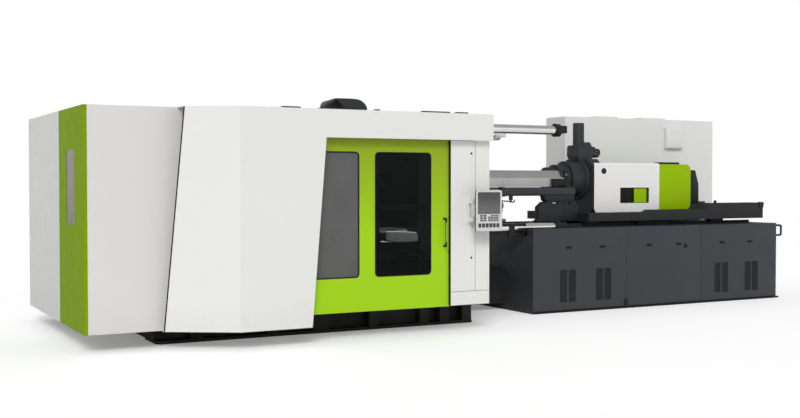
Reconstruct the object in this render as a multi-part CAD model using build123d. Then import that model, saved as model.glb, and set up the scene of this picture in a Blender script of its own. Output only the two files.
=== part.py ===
from build123d import *
import math
import os

# Large two-platen injection moulding machine, in millimetres.
# X runs along the machine, from the clamp end (negative) to the injection end (positive).
# X = 0 is the mould face of the fixed platen, Y = 0 the machine axis, Z = 0 the floor.
# The operator stands at -Y.

# General sheet metal and fits
sheet = 4
fold = 40
gap = 3
running_fit = 0.08
bore_sides = 10
seat_gap = 0.3

# Machine axis and platens
axis_height = 2060
platen_half_width = 1100
platen_half_height = 950
platen_corner = 130
mould_gap = 630
fixed_platen_depth = 500
moving_face_plate = 270
moving_rear_plate = 250
moving_platen_depth = 1470
platen_web = 90
platen_web_inset = 100
platen_side_pocket = 90
side_pocket_half = 520
locating_bore_radius = 125
locating_bore_depth = 50
nozzle_pocket_front = 88
nozzle_pocket_back = 300
bar_hole_gap = 2
slot_mouth = 32
slot_head = 54
slot_lip = 30
slot_depth = 62
slot_offsets = (-420, 420)

# Tie bars and their locks
bar_radius = 70
bar_y = 850
bar_z = 750
bar_end = 2550
bar_tooth_depth = 10
bar_tooth_pitch = 88
bar_tooth_width = 44
bar_tooth_count = 2
bar_nut_radius = 135
bar_nut_length = 130
collar_radius = 100
collar_length = 90
collar_block = 140
collar_block_lift = 25
collar_block_length = 110
clamp_cylinder_half = 205
clamp_cylinder_corner = 85
clamp_cylinder_length = 250
nut_outer = 300
nut_thickness = 200
nut_bore = 75
nut_bore_sides = 8
nut_tooth_root = 10
nut_tooth_half = 34
nut_stroke = 60
nut_clearance = 2
nut_end_gap = 20
guide_bar = 40
guide_reach = 255
guide_end = 40

# Ejector
ejector_pocket_depth = 330
ejector_plate_size = 640
ejector_plate_thickness = 80
ejector_pin_radius = 30
ejector_clearance = 1
ejector_cylinder_half = 90
ejector_rod_length = 380
ejector_rod_radius = 32

# Hood on the moving platen
hood_front = 150
hood_length = 780
hood_height = 152
hood_half_width = 1050
hood_corner = 120
hood_facet = 150
hood_shoulder = 40

# Traverse cylinders
traverse_y = 1185
traverse_z = 400
traverse_half = 58
traverse_rod_radius = 35
traverse_start = -90
traverse_length = 1440
traverse_cap = 30
traverse_lug_x = 110
traverse_lug = 90
traverse_bracket_places = (60, 400)
traverse_bracket = 60

# Clamp bed
bed_left = 3900
bed_right = 670
bed_height = axis_height - 1080
bed_half_width = 1450
bed_inner = 900
bed_plate = 40
bed_outer_web = 1300
bed_post_depth = 140
bed_post_places = ((-3380, 160), (-2360, 160), (-1677, 218), (-891, 146), (-104, 145), (222, 147), (592, 150))
bed_cross_places = (-3860, -2500, -1560)
bed_nose_cut = 50
slideway_left = -3700
slideway_right = -60
slideway_inner = 930
slideway_width = 170
slideway_height = 30
foot_length = 400
bridge_half_width = 350
bridge_bottom = 100
bridge_top = 640
bridge_wall = 30

# Enclosure
enclosure_left = 4850
enclosure_half_width = 1800
enclosure_bottom = 220
enclosure_top = 2910
corner_width = 1410
corner_window_inner = 515
corner_window_width = 447
corner_window_bottom = 1486
corner_window_height = 918
roof_length = 1280
front_left_end = 3471
post = 80
front_post_y = 1690
rear_post_y = 1600
post_places = (-4770, -3380, -2360)
pan_bracket_places = (-4680, -3700, -3560)
bracket_width = 60
canopy_bracket_places = (-3000, -2400)
column_post_x = 222
front_column_post_y = 1950
rear_column_post_y = 1690
column_bracket_levels = (600, 1400, 2300)

# Front canopy
canopy_y = 2400
canopy_crease = 3151
canopy_slope = 0.615
canopy_left_top = 3728
canopy_left_bottom = 3944
canopy_right_top = 2031
canopy_right_bottom = 2223
canopy_end = 415
header_bottom = 2560
canopy_return = 90
canopy_back = 1650

# Column cover
column_left = 190
column_bottom = 370
column_y = 2300
column_depth = 400
column_seam_x = 137
column_seam_bottom = 552
seam_width = 4
seam_depth = 2
column_sheet = 5

# Front gate
gate_left = 2390
gate_right = 193
gate_bottom = 360
gate_top = 2640
gate_face = 2265
gate_thickness = 40
gate_stroke = 950
window_bottom = 795
window_top = 2390
window_right = (-1295, -470)
window_left = (-2290, -1520)
window_corner = 55
pane_thickness = 8
pane_setback = 8
rail_bottom = 2565
rail_height = 50
rail_depth = 24
rail_gap = 12
rail_support_height = 18
rail_support_reach = 60
guide_bottom = 390
guide_height = 30
guide_support_places = (-1677, -891)
hanger_length = 160
hanger_thickness = 14
hanger_drop = 30
handle_x = 270
handle_bottom = 1151
handle_top = 1536
handle_width = 26
handle_reach = 62
handle_edge = 5

# Rear covers and gate
rear_fold = 30
rear_roof = 190
rear_gate_face = 1765
rear_gate_thickness = 40
rear_gate_stroke = 1450

# Operator panel
panel_left = 50
panel_right = 470
panel_bottom = 1360
panel_top = 1900
panel_front = 2550
panel_depth = 85
panel_corner = 14
screen_inset = 48
screen_top_inset = 34
screen_height = 285
screen_thickness = 4
hinge_x = 100
hinge_y = 2390
hinge_pin_radius = 12
hinge_lug = 50
hinge_lug_height = 60
hinge_span = 300
hinge_arm = 30
bracket_plate = 12

# Injection bed
injection_left = 1970
injection_right = 7100
injection_height = axis_height - 767
injection_front = 1110
injection_rear = 1460
deck = 40
beam_bottom = injection_height - 193
frame_wall = 40
cover_bottom = 45
lip_front = 18
lip_right = 50
lip_height = 24
bulkheads = (3773, 5360)
trough_inner = 740
trough_outer = 960
trough_end = 2880
trough_bottom = axis_height - bar_z - 130
trough_wall = 20
grip_places = (2642, 3298, 4250, 4874, 5830, 6475)
grip_height = beam_bottom - 105
grip_width = 100
grip_rise = 32
vent_places = (2625, 3322, 5815, 6508)
vent_width = 118
vent_pitch = 168
slat_lap = 8
vent_bottom = 160
vent_height = beam_bottom - 450 - vent_bottom
vent_slats = 5
slat_depth = 30
slat_rise = 34
slat_height = 44
console_length = 460
console_drop = 420

# Lifting handle at the end of the injection bed
loop_y = 1060
loop_reach = 160
loop_height = 215
loop_thickness = 30
loop_corner = 45

# Rails and sled
rail_y = 600
rail_width = 60
rail_top = injection_height + 47
rail_start = 2400
rail_end = 6950
sled_half_width = 850
sled_inner = 560
sled_left = 3236
sled_right = 7054
sled_bottom = rail_top + 37
sled_low_top = sled_bottom + 133
sled_step = 4619
sled_mid_top = sled_bottom + 168
sled_ramp_start = 5690
sled_ramp_end = 5860
sled_high_top = sled_bottom + 268
sled_cross_top = sled_bottom + 123
sled_crosses = ((3236, 150), (3560, 300), (4500, 150), (5600, 150), (6904, 150))
shoe_places = (3300, 4400, 6000)
shoe_length = 300
shoe_side = 30
shoe_clearance = 1
carriage_stroke = 600
block_left = 2440
block_right = 3236
block_half_width = 560
block_bottom = rail_top + 43
block_top = block_bottom + 282

# Injection plate, neck, throat and pipe
plate_front = 3650
plate_depth = 200
plate_half_width = 415
plate_bottom = sled_cross_top
plate_top = axis_height + 325
plate_top_corner = 130
plate_bottom_corner = 70
disc_radius = 335
disc_depth = 40
neck_sides = 20
neck_steps = ((2790, 128), (2994, 185), (3156, 228), (3360, 288))
barrel_radius = 105
throat_x = 3672
throat_half_y = 150
throat_top = axis_height + 530
pipe_radius = 90
pipe_top = axis_height + 928
pipe_flange = 125
pipe_flange_height = 26

# Barrel, nozzle, guard and screw
barrel_start = 330
nozzle_tip = 56
nozzle_tip_half = 20
nozzle_hex_radius = 93
nozzle_hex_start = 150
nozzle_shoulder_half = 38
guard_start = 700
guard_end_gap = 93
guard_top_end = neck_steps[-1][0] - guard_end_gap
guard_low_end = guard_top_end - 320
guard_half_width = 236
guard_half_top = 150
guard_bottom = axis_height - 132
guard_mid = axis_height + 10
guard_top = axis_height + 132
guard_sheet = 5
guard_lap = 12
screw_radius = 52.5
screw_start = 390
screw_end = 4900
terminal_left = guard_low_end + gap
terminal_length = 350
terminal_depth = 56

# Nozzle cylinders
nozzle_cylinder_y = 400
nozzle_cylinder_z = axis_height - 210
nozzle_cylinder_half = 64
nozzle_cylinder_start = 1150
nozzle_rod_radius = 30
nozzle_rod_end = 2000
nozzle_flange = 130
nozzle_flange_depth = 40

# Injection drive and covers
cover_half_width = 440
cover_left = 3665
cover_right = 5048
cover_bottom_z = sled_cross_top
cover_top = axis_height + 265
cover_corner = 40
cover_inner_cut = 18
cover_cut = 45
cover_notch_gap = 5
cover_sheet = 5
slot_left = 4211
slot_right = 4815
slot_bottom = axis_height - 399
slot_top = axis_height - 154
peep_x = 3854
peep_z = axis_height + 127
peep_radius = 46
peep_sides = 12
drive_half_width = 425
drive_left = 4515
drive_right = 5776
drive_bottom = sled_cross_top + 24
drive_top = cover_top - 17
drive_corner = 70
drive_stroke = 480
thrust_left = 4640
thrust_right = 5000
thrust_half_height = 225
thrust_corner = 50
motor_radius = 225
motor_end = 5700
gearbox_end = 5950
gearbox_half_width = 290
gearbox_bottom = axis_height - 420
gearbox_top = axis_height + 150
gearbox_corner = 60
gearbox_gap = 6
ram_y = 300
ram_z = 110
ram_rod_radius = 42
ram_end = 4500
ram_tail = 3900
ram_block = 160
ram_block_corner = 24

# Control cabinet
cabinet_left = 4070
cabinet_right = 7560
cabinet_front = 900
cabinet_top = injection_height + 1867
cabinet_plinth = 60
door_thickness = 30
junction_x = (6345, 6740)
junction_z = (cabinet_top - 533, cabinet_top - 151)
junction_depth = 75
cabinet_lids = ((4830, 5290), (5830, 6410))
lid_height = 26


def block(x0, x1, y0, y1, z0, z1):
    """A box between two corners."""
    centre = Location(((x0 + x1) / 2, (y0 + y1) / 2, (z0 + z1) / 2))
    return centre * Box(abs(x1 - x0), abs(y1 - y0), abs(z1 - z0))


def rod_x(x0, x1, y, z, radius):
    """A round bar along X."""
    place = Location(((x0 + x1) / 2, y, z)) * Rotation(0, 90, 0)
    return place * Cylinder(radius, x1 - x0)


def rod_z(x, y, z0, z1, radius):
    """A round bar along Z."""
    return Location((x, y, (z0 + z1) / 2)) * Cylinder(radius, z1 - z0)


def profile_x(points, x0, x1):
    """An outline in Y and Z, drawn out along X."""
    plane = Plane(origin=(x0, 0, 0), x_dir=(0, 1, 0), z_dir=(1, 0, 0))
    return extrude(plane * make_face(Polyline(*points, close=True)), x1 - x0)


def profile_y(points, y0, y1):
    """An outline in X and Z, drawn out along Y."""
    plane = Plane(origin=(0, y1, 0), x_dir=(1, 0, 0), z_dir=(0, -1, 0))
    return extrude(plane * make_face(Polyline(*points, close=True)), y1 - y0)


def profile_z(points, z0, z1):
    """An outline in X and Y, drawn out along Z."""
    plane = Plane(origin=(0, 0, z0))
    return extrude(plane * make_face(Polyline(*points, close=True)), z1 - z0)


def taper_x(x0, x1, half0, half1):
    """A four-sided taper along the machine axis, between two half widths."""
    z = axis_height
    side_view = [(x0, z - half0), (x1, z - half1), (x1, z + half1), (x0, z + half0)]
    reach = max(half0, half1)
    plan = [(x0, -half0), (x1, -half1), (x1, half1), (x0, half0)]
    return profile_y(side_view, -reach, reach) & profile_z(plan, z - reach, z + reach)


def flatted_x(x0, x1, y, z, radius, sides):
    """A bar or hole along X with that many flats, each just touching a circle of that radius."""
    outline = Plane(origin=(x0, y, z), x_dir=(0, 1, 0), z_dir=(1, 0, 0))
    return extrude(outline * RegularPolygon(radius, sides, major_radius=False), x1 - x0)


def rod_bore_x(x0, x1, y, z, radius):
    """The bore that a round rod of that radius runs in, with flat sides."""
    return flatted_x(x0, x1, y, z, radius + running_fit, bore_sides)


def square_bar_x(x0, x1, y, z, half):
    """A square bar along X with its corners cut."""
    return Location((0, y, 0)) * profile_x(octagon(half, half, half * 0.59, z), x0, x1)


def mirrored(shape):
    """The same shape on the other side of the machine axis."""
    return mirror(shape, about=Plane.XZ)


def group(*shapes):
    """Separate solids of one kind, kept apart."""
    solids = []
    for shape in shapes:
        solids.extend(shape.solids())
    return Compound(children=solids)


def octagon(half_width, half_height, corner, centre_height):
    """A rectangle with cut corners, as an outline in Y and Z about the machine axis."""
    w = half_width
    low = centre_height - half_height
    high = centre_height + half_height
    c = corner
    right = [(w - c, low), (w, low + c), (w, high - c), (w - c, high)]
    left = [(-y, z) for y, z in reversed(right)]
    return right + left


def bar_places():
    """The four tie bar axes."""
    return [(side * bar_y, axis_height + level * bar_z) for side in (-1, 1) for level in (-1, 1)]


def window_cut(x_range, y0, y1):
    """A rounded window opening through a gate leaf. Each corner has three flats."""
    x0, x1 = x_range
    c = window_corner
    steps = [(c, 0), (c * 0.4, c * 0.12), (c * 0.12, c * 0.4), (0, c)]
    low = [(x0 + a, window_bottom + b) for a, b in steps]
    high = [(x, window_top + window_bottom - z) for x, z in reversed(low)]
    left = low + high
    return profile_y(left + [(x0 + x1 - x, z) for x, z in reversed(left)], y0, y1)


# Clamp bed

def bed_beam():
    """One side beam: a box girder with an outer flange and posts between the flanges."""
    top = bed_height - bed_plate
    girder = profile_x(
        [
            (-bed_half_width, 0),
            (-bed_inner, 0),
            (-bed_inner, bed_height),
            (-bed_half_width, bed_height),
            (-bed_half_width, top),
            (-bed_outer_web, top),
            (-bed_outer_web, bed_plate),
            (-bed_half_width, bed_plate),
        ],
        -bed_left,
        bed_right,
    )
    inner_left = -bed_left + bed_plate
    inner_right = bed_right - bed_plate
    inner_front = -bed_outer_web + bed_plate
    beam = girder - block(inner_left, inner_right, inner_front, -bed_inner - bed_plate, bed_plate, top)
    for x, width in bed_post_places:
        outer = bed_outer_web + bed_post_depth
        beam += block(x - width / 2, x + width / 2, -outer, -bed_outer_web, bed_plate, top)
    slideway_outer = slideway_inner + slideway_width
    slideway_top = bed_height + slideway_height
    beam += block(slideway_left, slideway_right, -slideway_outer, -slideway_inner, bed_height, slideway_top)
    nose = beam.edges().filter_by(Axis.Z).group_by(Axis.X)[0].group_by(Axis.Y)[0]
    return chamfer(nose, bed_nose_cut)


def clamp_bed():
    """Two side beams, cross members, the seat under the fixed platen and the bridge to the injection bed."""
    beam = bed_beam()
    plates = [beam, mirrored(beam)]
    for x in bed_cross_places:
        plates.append(block(x, x + bed_plate, -bed_inner, bed_inner, 0, bed_height - 100))
    seat = block(-200, bed_right, -bed_inner, bed_inner, 0, bed_height)
    seat -= block(-200 + bed_plate, bed_right - bed_plate, -bed_inner, bed_inner, bed_plate, bed_height)
    tube = block(bed_right, injection_left, -bridge_half_width, bridge_half_width, bridge_bottom, bridge_top)
    tube -= block(
        bed_right,
        injection_left,
        -bridge_half_width + bridge_wall,
        bridge_half_width - bridge_wall,
        bridge_bottom + bridge_wall,
        bridge_top - bridge_wall,
    )
    return group(*plates, seat, tube)


# Platens and clamp

def platen_outline(x0, x1):
    """The platen's block with its cut corners."""
    return profile_x(octagon(platen_half_width, platen_half_height, platen_corner, axis_height), x0, x1)


def t_slots(face, direction):
    """Horizontal clamping slots across a platen's mould face."""
    slots = []
    for offset in slot_offsets:
        z = axis_height + offset
        reach = platen_half_width
        lip = face + direction * slot_lip
        end = face + direction * slot_depth
        slots.append(block(face, lip, -reach, reach, z - slot_mouth / 2, z + slot_mouth / 2))
        slots.append(block(lip, end, -reach, reach, z - slot_head / 2, z + slot_head / 2))
    return slots


def platen_feet(x0, x1, bottom):
    """Feet that carry a platen on the bed."""
    top = axis_height - platen_half_height + platen_corner + 40
    inner = slideway_inner + 5
    outer = slideway_inner + slideway_width - 5
    foot = block(x0, x1, -outer, -inner, bottom, top)
    return foot + mirrored(foot)


def bar_holes(x0, x1):
    """Clearance holes for the four tie bars."""
    return [flatted_x(x0, x1, y, z, bar_radius + bar_hole_gap, bore_sides) for y, z in bar_places()]


def fixed_platen():
    """The fixed platen: slots in its mould face, a tapered nozzle pocket and side pockets."""
    platen = platen_outline(0, fixed_platen_depth)
    platen += platen_feet(40, 40 + foot_length, bed_height)
    for cut in t_slots(0, 1):
        platen -= cut
    for cut in bar_holes(0, fixed_platen_depth):
        platen -= cut
    platen -= rod_x(0, locating_bore_depth, 0, axis_height, locating_bore_radius)
    platen -= taper_x(locating_bore_depth, fixed_platen_depth, nozzle_pocket_front, nozzle_pocket_back)
    for side in (-1, 1):
        y0 = side * platen_half_width
        y1 = side * (platen_half_width - platen_side_pocket)
        platen -= block(140, 380, y0, y1, axis_height - side_pocket_half, axis_height + side_pocket_half)
    return platen


def clamp_cylinders():
    """Four short clamp cylinders bolted behind the fixed platen, in blocks with cut corners."""
    x0 = fixed_platen_depth
    x1 = x0 + clamp_cylinder_length
    half = clamp_cylinder_half
    bodies = []
    for y, z in bar_places():
        outline = octagon(half, half, clamp_cylinder_corner, z)
        body = Location((0, y, 0)) * profile_x(outline, x0, x1)
        bodies.append(body - flatted_x(x0, x1, y, z, bar_radius + bar_hole_gap, bore_sides))
    return group(*bodies)


def nut_start():
    """Where the split nuts begin, behind the clamp cylinders."""
    return fixed_platen_depth + clamp_cylinder_length + nut_end_gap


def moving_platen_back():
    """The rear face of the moving platen at rest."""
    return -mould_gap - moving_platen_depth


def nut_guides():
    """Guide bars above and below each split nut, with end blocks that limit its halves."""
    guides = []
    x0 = fixed_platen_depth + clamp_cylinder_length
    x1 = nut_start() + nut_thickness
    low = nut_outer / 2 + seat_gap
    high = low + guide_bar
    for y, z in bar_places():
        for level in (-1, 1):
            z0, z1 = sorted((z + level * low, z + level * high))
            guides.append(block(x0, x1, y - guide_reach, y + guide_reach, z0, z1))
        for side in (-1, 1):
            y0, y1 = sorted((y + side * guide_reach, y + side * (guide_reach - guide_end)))
            guides.append(block(x0, x1, y0, y1, z - low, z + low))
    return group(*guides)


def tooth_starts():
    """Where the locking teeth of the split nuts and the notches of the bars begin."""
    first = nut_start() + 20
    return [first + index * bar_tooth_pitch for index in range(bar_tooth_count)]


def nut_half(y, z, side):
    """Half of a split nut with its teeth, drawn back from its bar by the nut stroke."""
    x0 = nut_start()
    x1 = x0 + nut_thickness
    half = nut_outer / 2
    edge = side * nut_clearance / 2
    y0, y1 = sorted((y + edge, y + side * half))
    body = block(x0, x1, y0, y1, z - half, z + half)
    body -= flatted_x(x0, x1, y, z, nut_bore, nut_bore_sides)
    face = bar_radius - bar_tooth_depth + nut_clearance
    for start in tooth_starts():
        y0, y1 = sorted((y + side * face, y + side * (nut_bore + nut_tooth_root)))
        low = start + nut_clearance
        high = start + bar_tooth_width - nut_clearance
        body += block(low, high, y0, y1, z - nut_tooth_half, z + nut_tooth_half)
    return Location((0, side * nut_stroke, 0)) * body


def nut_halves(side):
    """The four nut halves on one side of their bars."""
    return group(*[nut_half(y, z, side) for y, z in bar_places()])


def tie_bars():
    """Four tie bars with rows of locking notches on both sides where the split nuts close."""
    bars = []
    reach = bar_radius - bar_tooth_depth
    for y, z in bar_places():
        bar = rod_x(moving_platen_back(), bar_end, y, z, bar_radius)
        for x in tooth_starts():
            for side in (-1, 1):
                y0, y1 = sorted((y + side * reach, y + side * (bar_radius + 1)))
                bar -= block(x, x + bar_tooth_width, y0, y1, z - bar_radius, z + bar_radius)
        bars.append(bar)
    return group(*bars)


def tie_bar_nuts():
    """Hexagonal cap nuts that hold the bars behind the moving platen."""
    x0 = moving_platen_back() - bar_nut_length
    nuts = []
    for y, z in bar_places():
        place = Plane(origin=(x0, y, z), x_dir=(0, 1, 0), z_dir=(1, 0, 0))
        nuts.append(extrude(place * RegularPolygon(bar_nut_radius, 6), bar_nut_length))
    return group(*nuts)


def tie_bar_collars():
    """A flanged collar and a square block on the free end of each bar."""
    collars = []
    half = collar_block / 2
    x1 = bar_end + collar_length
    for y, z in bar_places():
        outline = octagon(collar_radius, collar_radius, collar_radius * 0.59, z)
        collars.append(Location((0, y, 0)) * profile_x(outline, bar_end, x1))
        low = z - half + collar_block_lift
        collars.append(block(x1, x1 + collar_block_length, y - half, y + half, low, z + half))
    return group(*collars)


def moving_platen():
    """The moving platen: strips between the slots, their plate, a rear plate, bar bosses and webs."""
    face = -mould_gap
    back = moving_platen_back()
    mid0 = face - moving_face_plate
    mid1 = back + moving_rear_plate
    slot_end = face - slot_depth
    strips = platen_outline(slot_end, face)
    for cut in t_slots(face, -1):
        strips -= cut
    front = platen_outline(mid0, slot_end) + platen_feet(mid0 + 60, slot_end, bed_height + slideway_height)
    pin_hole = flatted_x(mid0, face, 0, axis_height, ejector_pin_radius + ejector_clearance, bore_sides)
    for cut in bar_holes(mid0, face) + [pin_hole]:
        strips -= cut
        front -= cut
    platen = platen_outline(back, mid1)
    boss = bar_radius + 75
    for y, z in bar_places():
        platen += block(mid1, mid0, y - boss, y + boss, z - boss, z + boss)
    web_y = ejector_plate_size / 2 + 60
    for side in (-1, 1):
        y0 = side * web_y
        low = axis_height - platen_half_height + platen_web_inset
        high = axis_height + platen_half_height - platen_web_inset
        platen += block(mid1, mid0, y0, y0 + side * platen_web, low, high)
    for level in (-1, 1):
        z0 = axis_height + level * web_y
        for side in (-1, 1):
            ends = sorted((side * (web_y + platen_web), side * (platen_half_width - 60)))
            platen += block(mid1, mid0, ends[0], ends[1], z0 - platen_web / 2, z0 + platen_web / 2)
    platen += platen_feet(back + 20, mid1 - 30, bed_height + slideway_height)
    for cut in bar_holes(back, mid0):
        platen -= cut
    return group(strips, front, platen)


def ejector_plate_x():
    """The back face of the ejector plate at rest."""
    return -mould_gap - moving_face_plate - ejector_pocket_depth - ejector_plate_thickness


def ejector_plate():
    """A square plate with its drive rod behind and a centre pin through the face plate."""
    x0 = ejector_plate_x()
    x1 = x0 + ejector_plate_thickness
    half = ejector_plate_size / 2
    plate = profile_x(octagon(half, half, 50, axis_height), x0, x1)
    tip = -mould_gap - slot_depth - 40
    pin = rod_x(x1, tip, 0, axis_height, ejector_pin_radius)
    return group(plate, pin, rod_x(x0 - ejector_rod_length, x0, 0, axis_height, ejector_rod_radius))


def ejector_cylinder():
    """The cylinder on the rear plate that drives the ejector plate, in a square block."""
    half = ejector_cylinder_half
    x0 = moving_platen_back() + moving_rear_plate
    x1 = ejector_plate_x() - 30
    body = profile_x(octagon(half, half, half / 3, axis_height), x0, x1)
    return body - rod_bore_x(x0 + 120, x1, 0, axis_height, ejector_rod_radius)


def platen_hood():
    """A dark hood with sloped ends and edges on top of the moving platen."""
    x1 = -mould_gap - hood_front
    x0 = x1 - hood_length
    z0 = axis_height + platen_half_height
    z1 = z0 + hood_height
    c = hood_corner
    half = hood_half_width
    shoulder = z0 + hood_shoulder
    outer = [(x0, z0), (x1, z0), (x1, shoulder), (x1 - c, z1), (x0 + c, z1), (x0, shoulder)]
    hood = profile_y(outer, -half, half)
    for side in (-1, 1):
        wedge = [(side * half, shoulder), (side * half, z1), (side * (half - hood_facet), z1)]
        hood -= profile_x(wedge, x0, x1)
    return hood - block(x0 + 60, x1 - 60, -half + 60, half - 60, z0, z0 + hood_shoulder)


# Traverse drive of the moving platen

def traverse_places():
    return [(-traverse_y, axis_height - traverse_z), (traverse_y, axis_height + traverse_z)]


def traverse_cylinders():
    """Two long cylinders beside the fixed platen, each fused to its two brackets."""
    x0 = traverse_start
    x1 = x0 + traverse_length
    bodies = []
    for y, z in traverse_places():
        side = 1 if y > 0 else -1
        body = square_bar_x(x0, x1, y, z, traverse_half)
        reach = sorted((side * platen_half_width, y - side * traverse_half))
        half = traverse_half * 0.4
        for start in traverse_bracket_places:
            body += block(start, start + traverse_bracket, reach[0], reach[1], z - half, z + half)
        bodies.append(body - rod_bore_x(x0, x1 - traverse_cap, y, z, traverse_rod_radius))
    return group(*bodies)


def traverse_rods():
    """Rods with a lug on the side of the moving platen."""
    end = traverse_start + traverse_length - traverse_cap - 10
    lug = -mould_gap - traverse_lug_x
    half = traverse_lug / 2
    rods = []
    for y, z in traverse_places():
        side = 1 if y > 0 else -1
        rods.append(rod_x(lug + half, end, y, z, traverse_rod_radius))
        reach = sorted((side * platen_half_width, y + side * half))
        rods.append(block(lug - half, lug + half, reach[0], reach[1], z - traverse_half, z + traverse_half))
    return group(*rods)


# Enclosure

def pan(x0, x1, z0, z1, y_face, side):
    """A folded cover with returns. side is the way the returns point along Y."""
    outer = block(x0, x1, y_face, y_face + side * fold, z0, z1)
    inner = block(
        x0 + sheet, x1 - sheet, y_face + side * sheet, y_face + side * (fold + 1), z0 + sheet, z1 - sheet
    )
    return outer - inner


def end_pan(y0, y1):
    """A folded cover on the end of the enclosure, with returns pointing inwards."""
    x0 = -enclosure_left
    outer = block(x0, x0 + fold, y0, y1, enclosure_bottom, enclosure_top)
    inner = block(
        x0 + sheet, x0 + fold + 1, y0 + sheet, y1 - sheet, enclosure_bottom + sheet, enclosure_top - sheet
    )
    return outer - inner


def end_wall():
    y0 = -enclosure_half_width + corner_width + gap
    return end_pan(y0, enclosure_half_width)


def corner_window_span():
    y0 = -enclosure_half_width + corner_window_inner
    z0 = corner_window_bottom
    return y0, y0 + corner_window_width, z0, z0 + corner_window_height


def corner_panel():
    """The coloured corner panel with its tall window opening."""
    panel = end_pan(-enclosure_half_width, -enclosure_half_width + corner_width)
    y0, y1, z0, z1 = corner_window_span()
    x0 = -enclosure_left
    return panel - block(x0, x0 + sheet, y0, y1, z0, z1)


def corner_window():
    """A pane behind the corner panel's opening."""
    y0, y1, z0, z1 = corner_window_span()
    x0 = -enclosure_left + sheet
    return block(x0, x0 + pane_thickness, y0 - 20, y1 + 20, z0 - 20, z1 + 20)


def front_left_panel():
    """The front cover beside the corner panel. It runs on behind the centre cover."""
    x0 = -enclosure_left + fold + gap
    return pan(x0, -front_left_end, enclosure_bottom, enclosure_top, -enclosure_half_width, 1)


def roof_panel():
    """The roof over the end of the enclosure. The mould space behind it stays open for the crane."""
    x0 = -enclosure_left + fold + gap
    x1 = -enclosure_left + roof_length
    half = enclosure_half_width - fold - gap
    roof = block(x0, x1, -half, half, enclosure_top - sheet, enclosure_top)
    for y in (-half, half - sheet):
        roof += block(x0, x1, y, y + sheet, enclosure_top - fold, enclosure_top - sheet)
    return roof


def frame_side(side):
    """The posts, sill and top beam on one side, with outriggers from the bed and brackets to the covers."""
    h = post / 2
    low = enclosure_bottom + fold
    top = enclosure_top - sheet
    centre = side * (front_post_y if side < 0 else rear_post_y)
    y0, y1 = sorted((centre - h, centre + h))
    first = post_places[0] - h
    last = post_places[-1] + h
    parts = [block(first, last, y0, y1, low, low + post), block(first, last, y0, y1, top - post, top)]
    for x in post_places:
        parts.append(block(x - h, x + h, y0, y1, low + post, top - post))
    inner = sorted((side * (bed_outer_web + bed_post_depth), centre - side * h))
    for x in post_places[1:]:
        parts.append(block(x - h, x + h, inner[0], inner[1], low, low + post))
    outer = sorted((centre + side * h, side * (enclosure_half_width - sheet)))
    for x in pan_bracket_places:
        for z in (low, top - post):
            parts.append(block(x, x + bracket_width, outer[0], outer[1], z, z + post - fold))
    return parts


def column_side(side):
    """The post behind a column cover, with outriggers from the bed and brackets to the cover."""
    h = post / 2
    x0 = column_post_x - h
    x1 = column_post_x + h
    centre = side * (front_column_post_y if side < 0 else rear_column_post_y)
    face = column_y - column_sheet if side < 0 else enclosure_half_width - sheet
    y0, y1 = sorted((centre - h, centre + h))
    low = column_bottom + fold
    parts = [block(x0, x1, y0, y1, low, enclosure_top - sheet)]
    inner = sorted((side * (bed_outer_web + bed_post_depth), centre - side * h))
    for z in (low, bed_height - bed_plate - post):
        parts.append(block(x0, x1, inner[0], inner[1], z, z + post))
    outer = sorted((centre + side * h, side * face))
    for z in column_bracket_levels:
        parts.append(block(x0, x1, outer[0], outer[1], z, z + post))
    return parts


def enclosure_frame():
    """Square tubes that carry the covers, and the arms that hold the centre cover below."""
    h = post / 2
    low = enclosure_bottom + fold
    top = enclosure_top - sheet
    x = post_places[0]
    y0 = -front_post_y + h
    y1 = rear_post_y - h
    parts = frame_side(-1) + frame_side(1) + column_side(-1) + column_side(1)
    parts.append(block(x - h, x + h, y0, y1, low, low + post))
    parts.append(block(x - h, x + h, y0, y1, top - post, top))
    for arm in canopy_bracket_places:
        front = -canopy_y + sheet
        parts.append(block(arm, arm + bracket_width, front, -front_post_y - h, low, low + post))
    return group(*parts)


def canopy_plan(inset):
    """The folded front line of the centre cover and header in plan, moved inwards by an amount."""
    left = canopy_left_bottom + 60
    y_left = canopy_y - (left - canopy_crease) * canopy_slope
    shift = inset / math.cos(math.atan(canopy_slope))
    return [(-left, -y_left + shift), (-canopy_crease, -canopy_y + inset), (canopy_end, -canopy_y + inset)]


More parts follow.
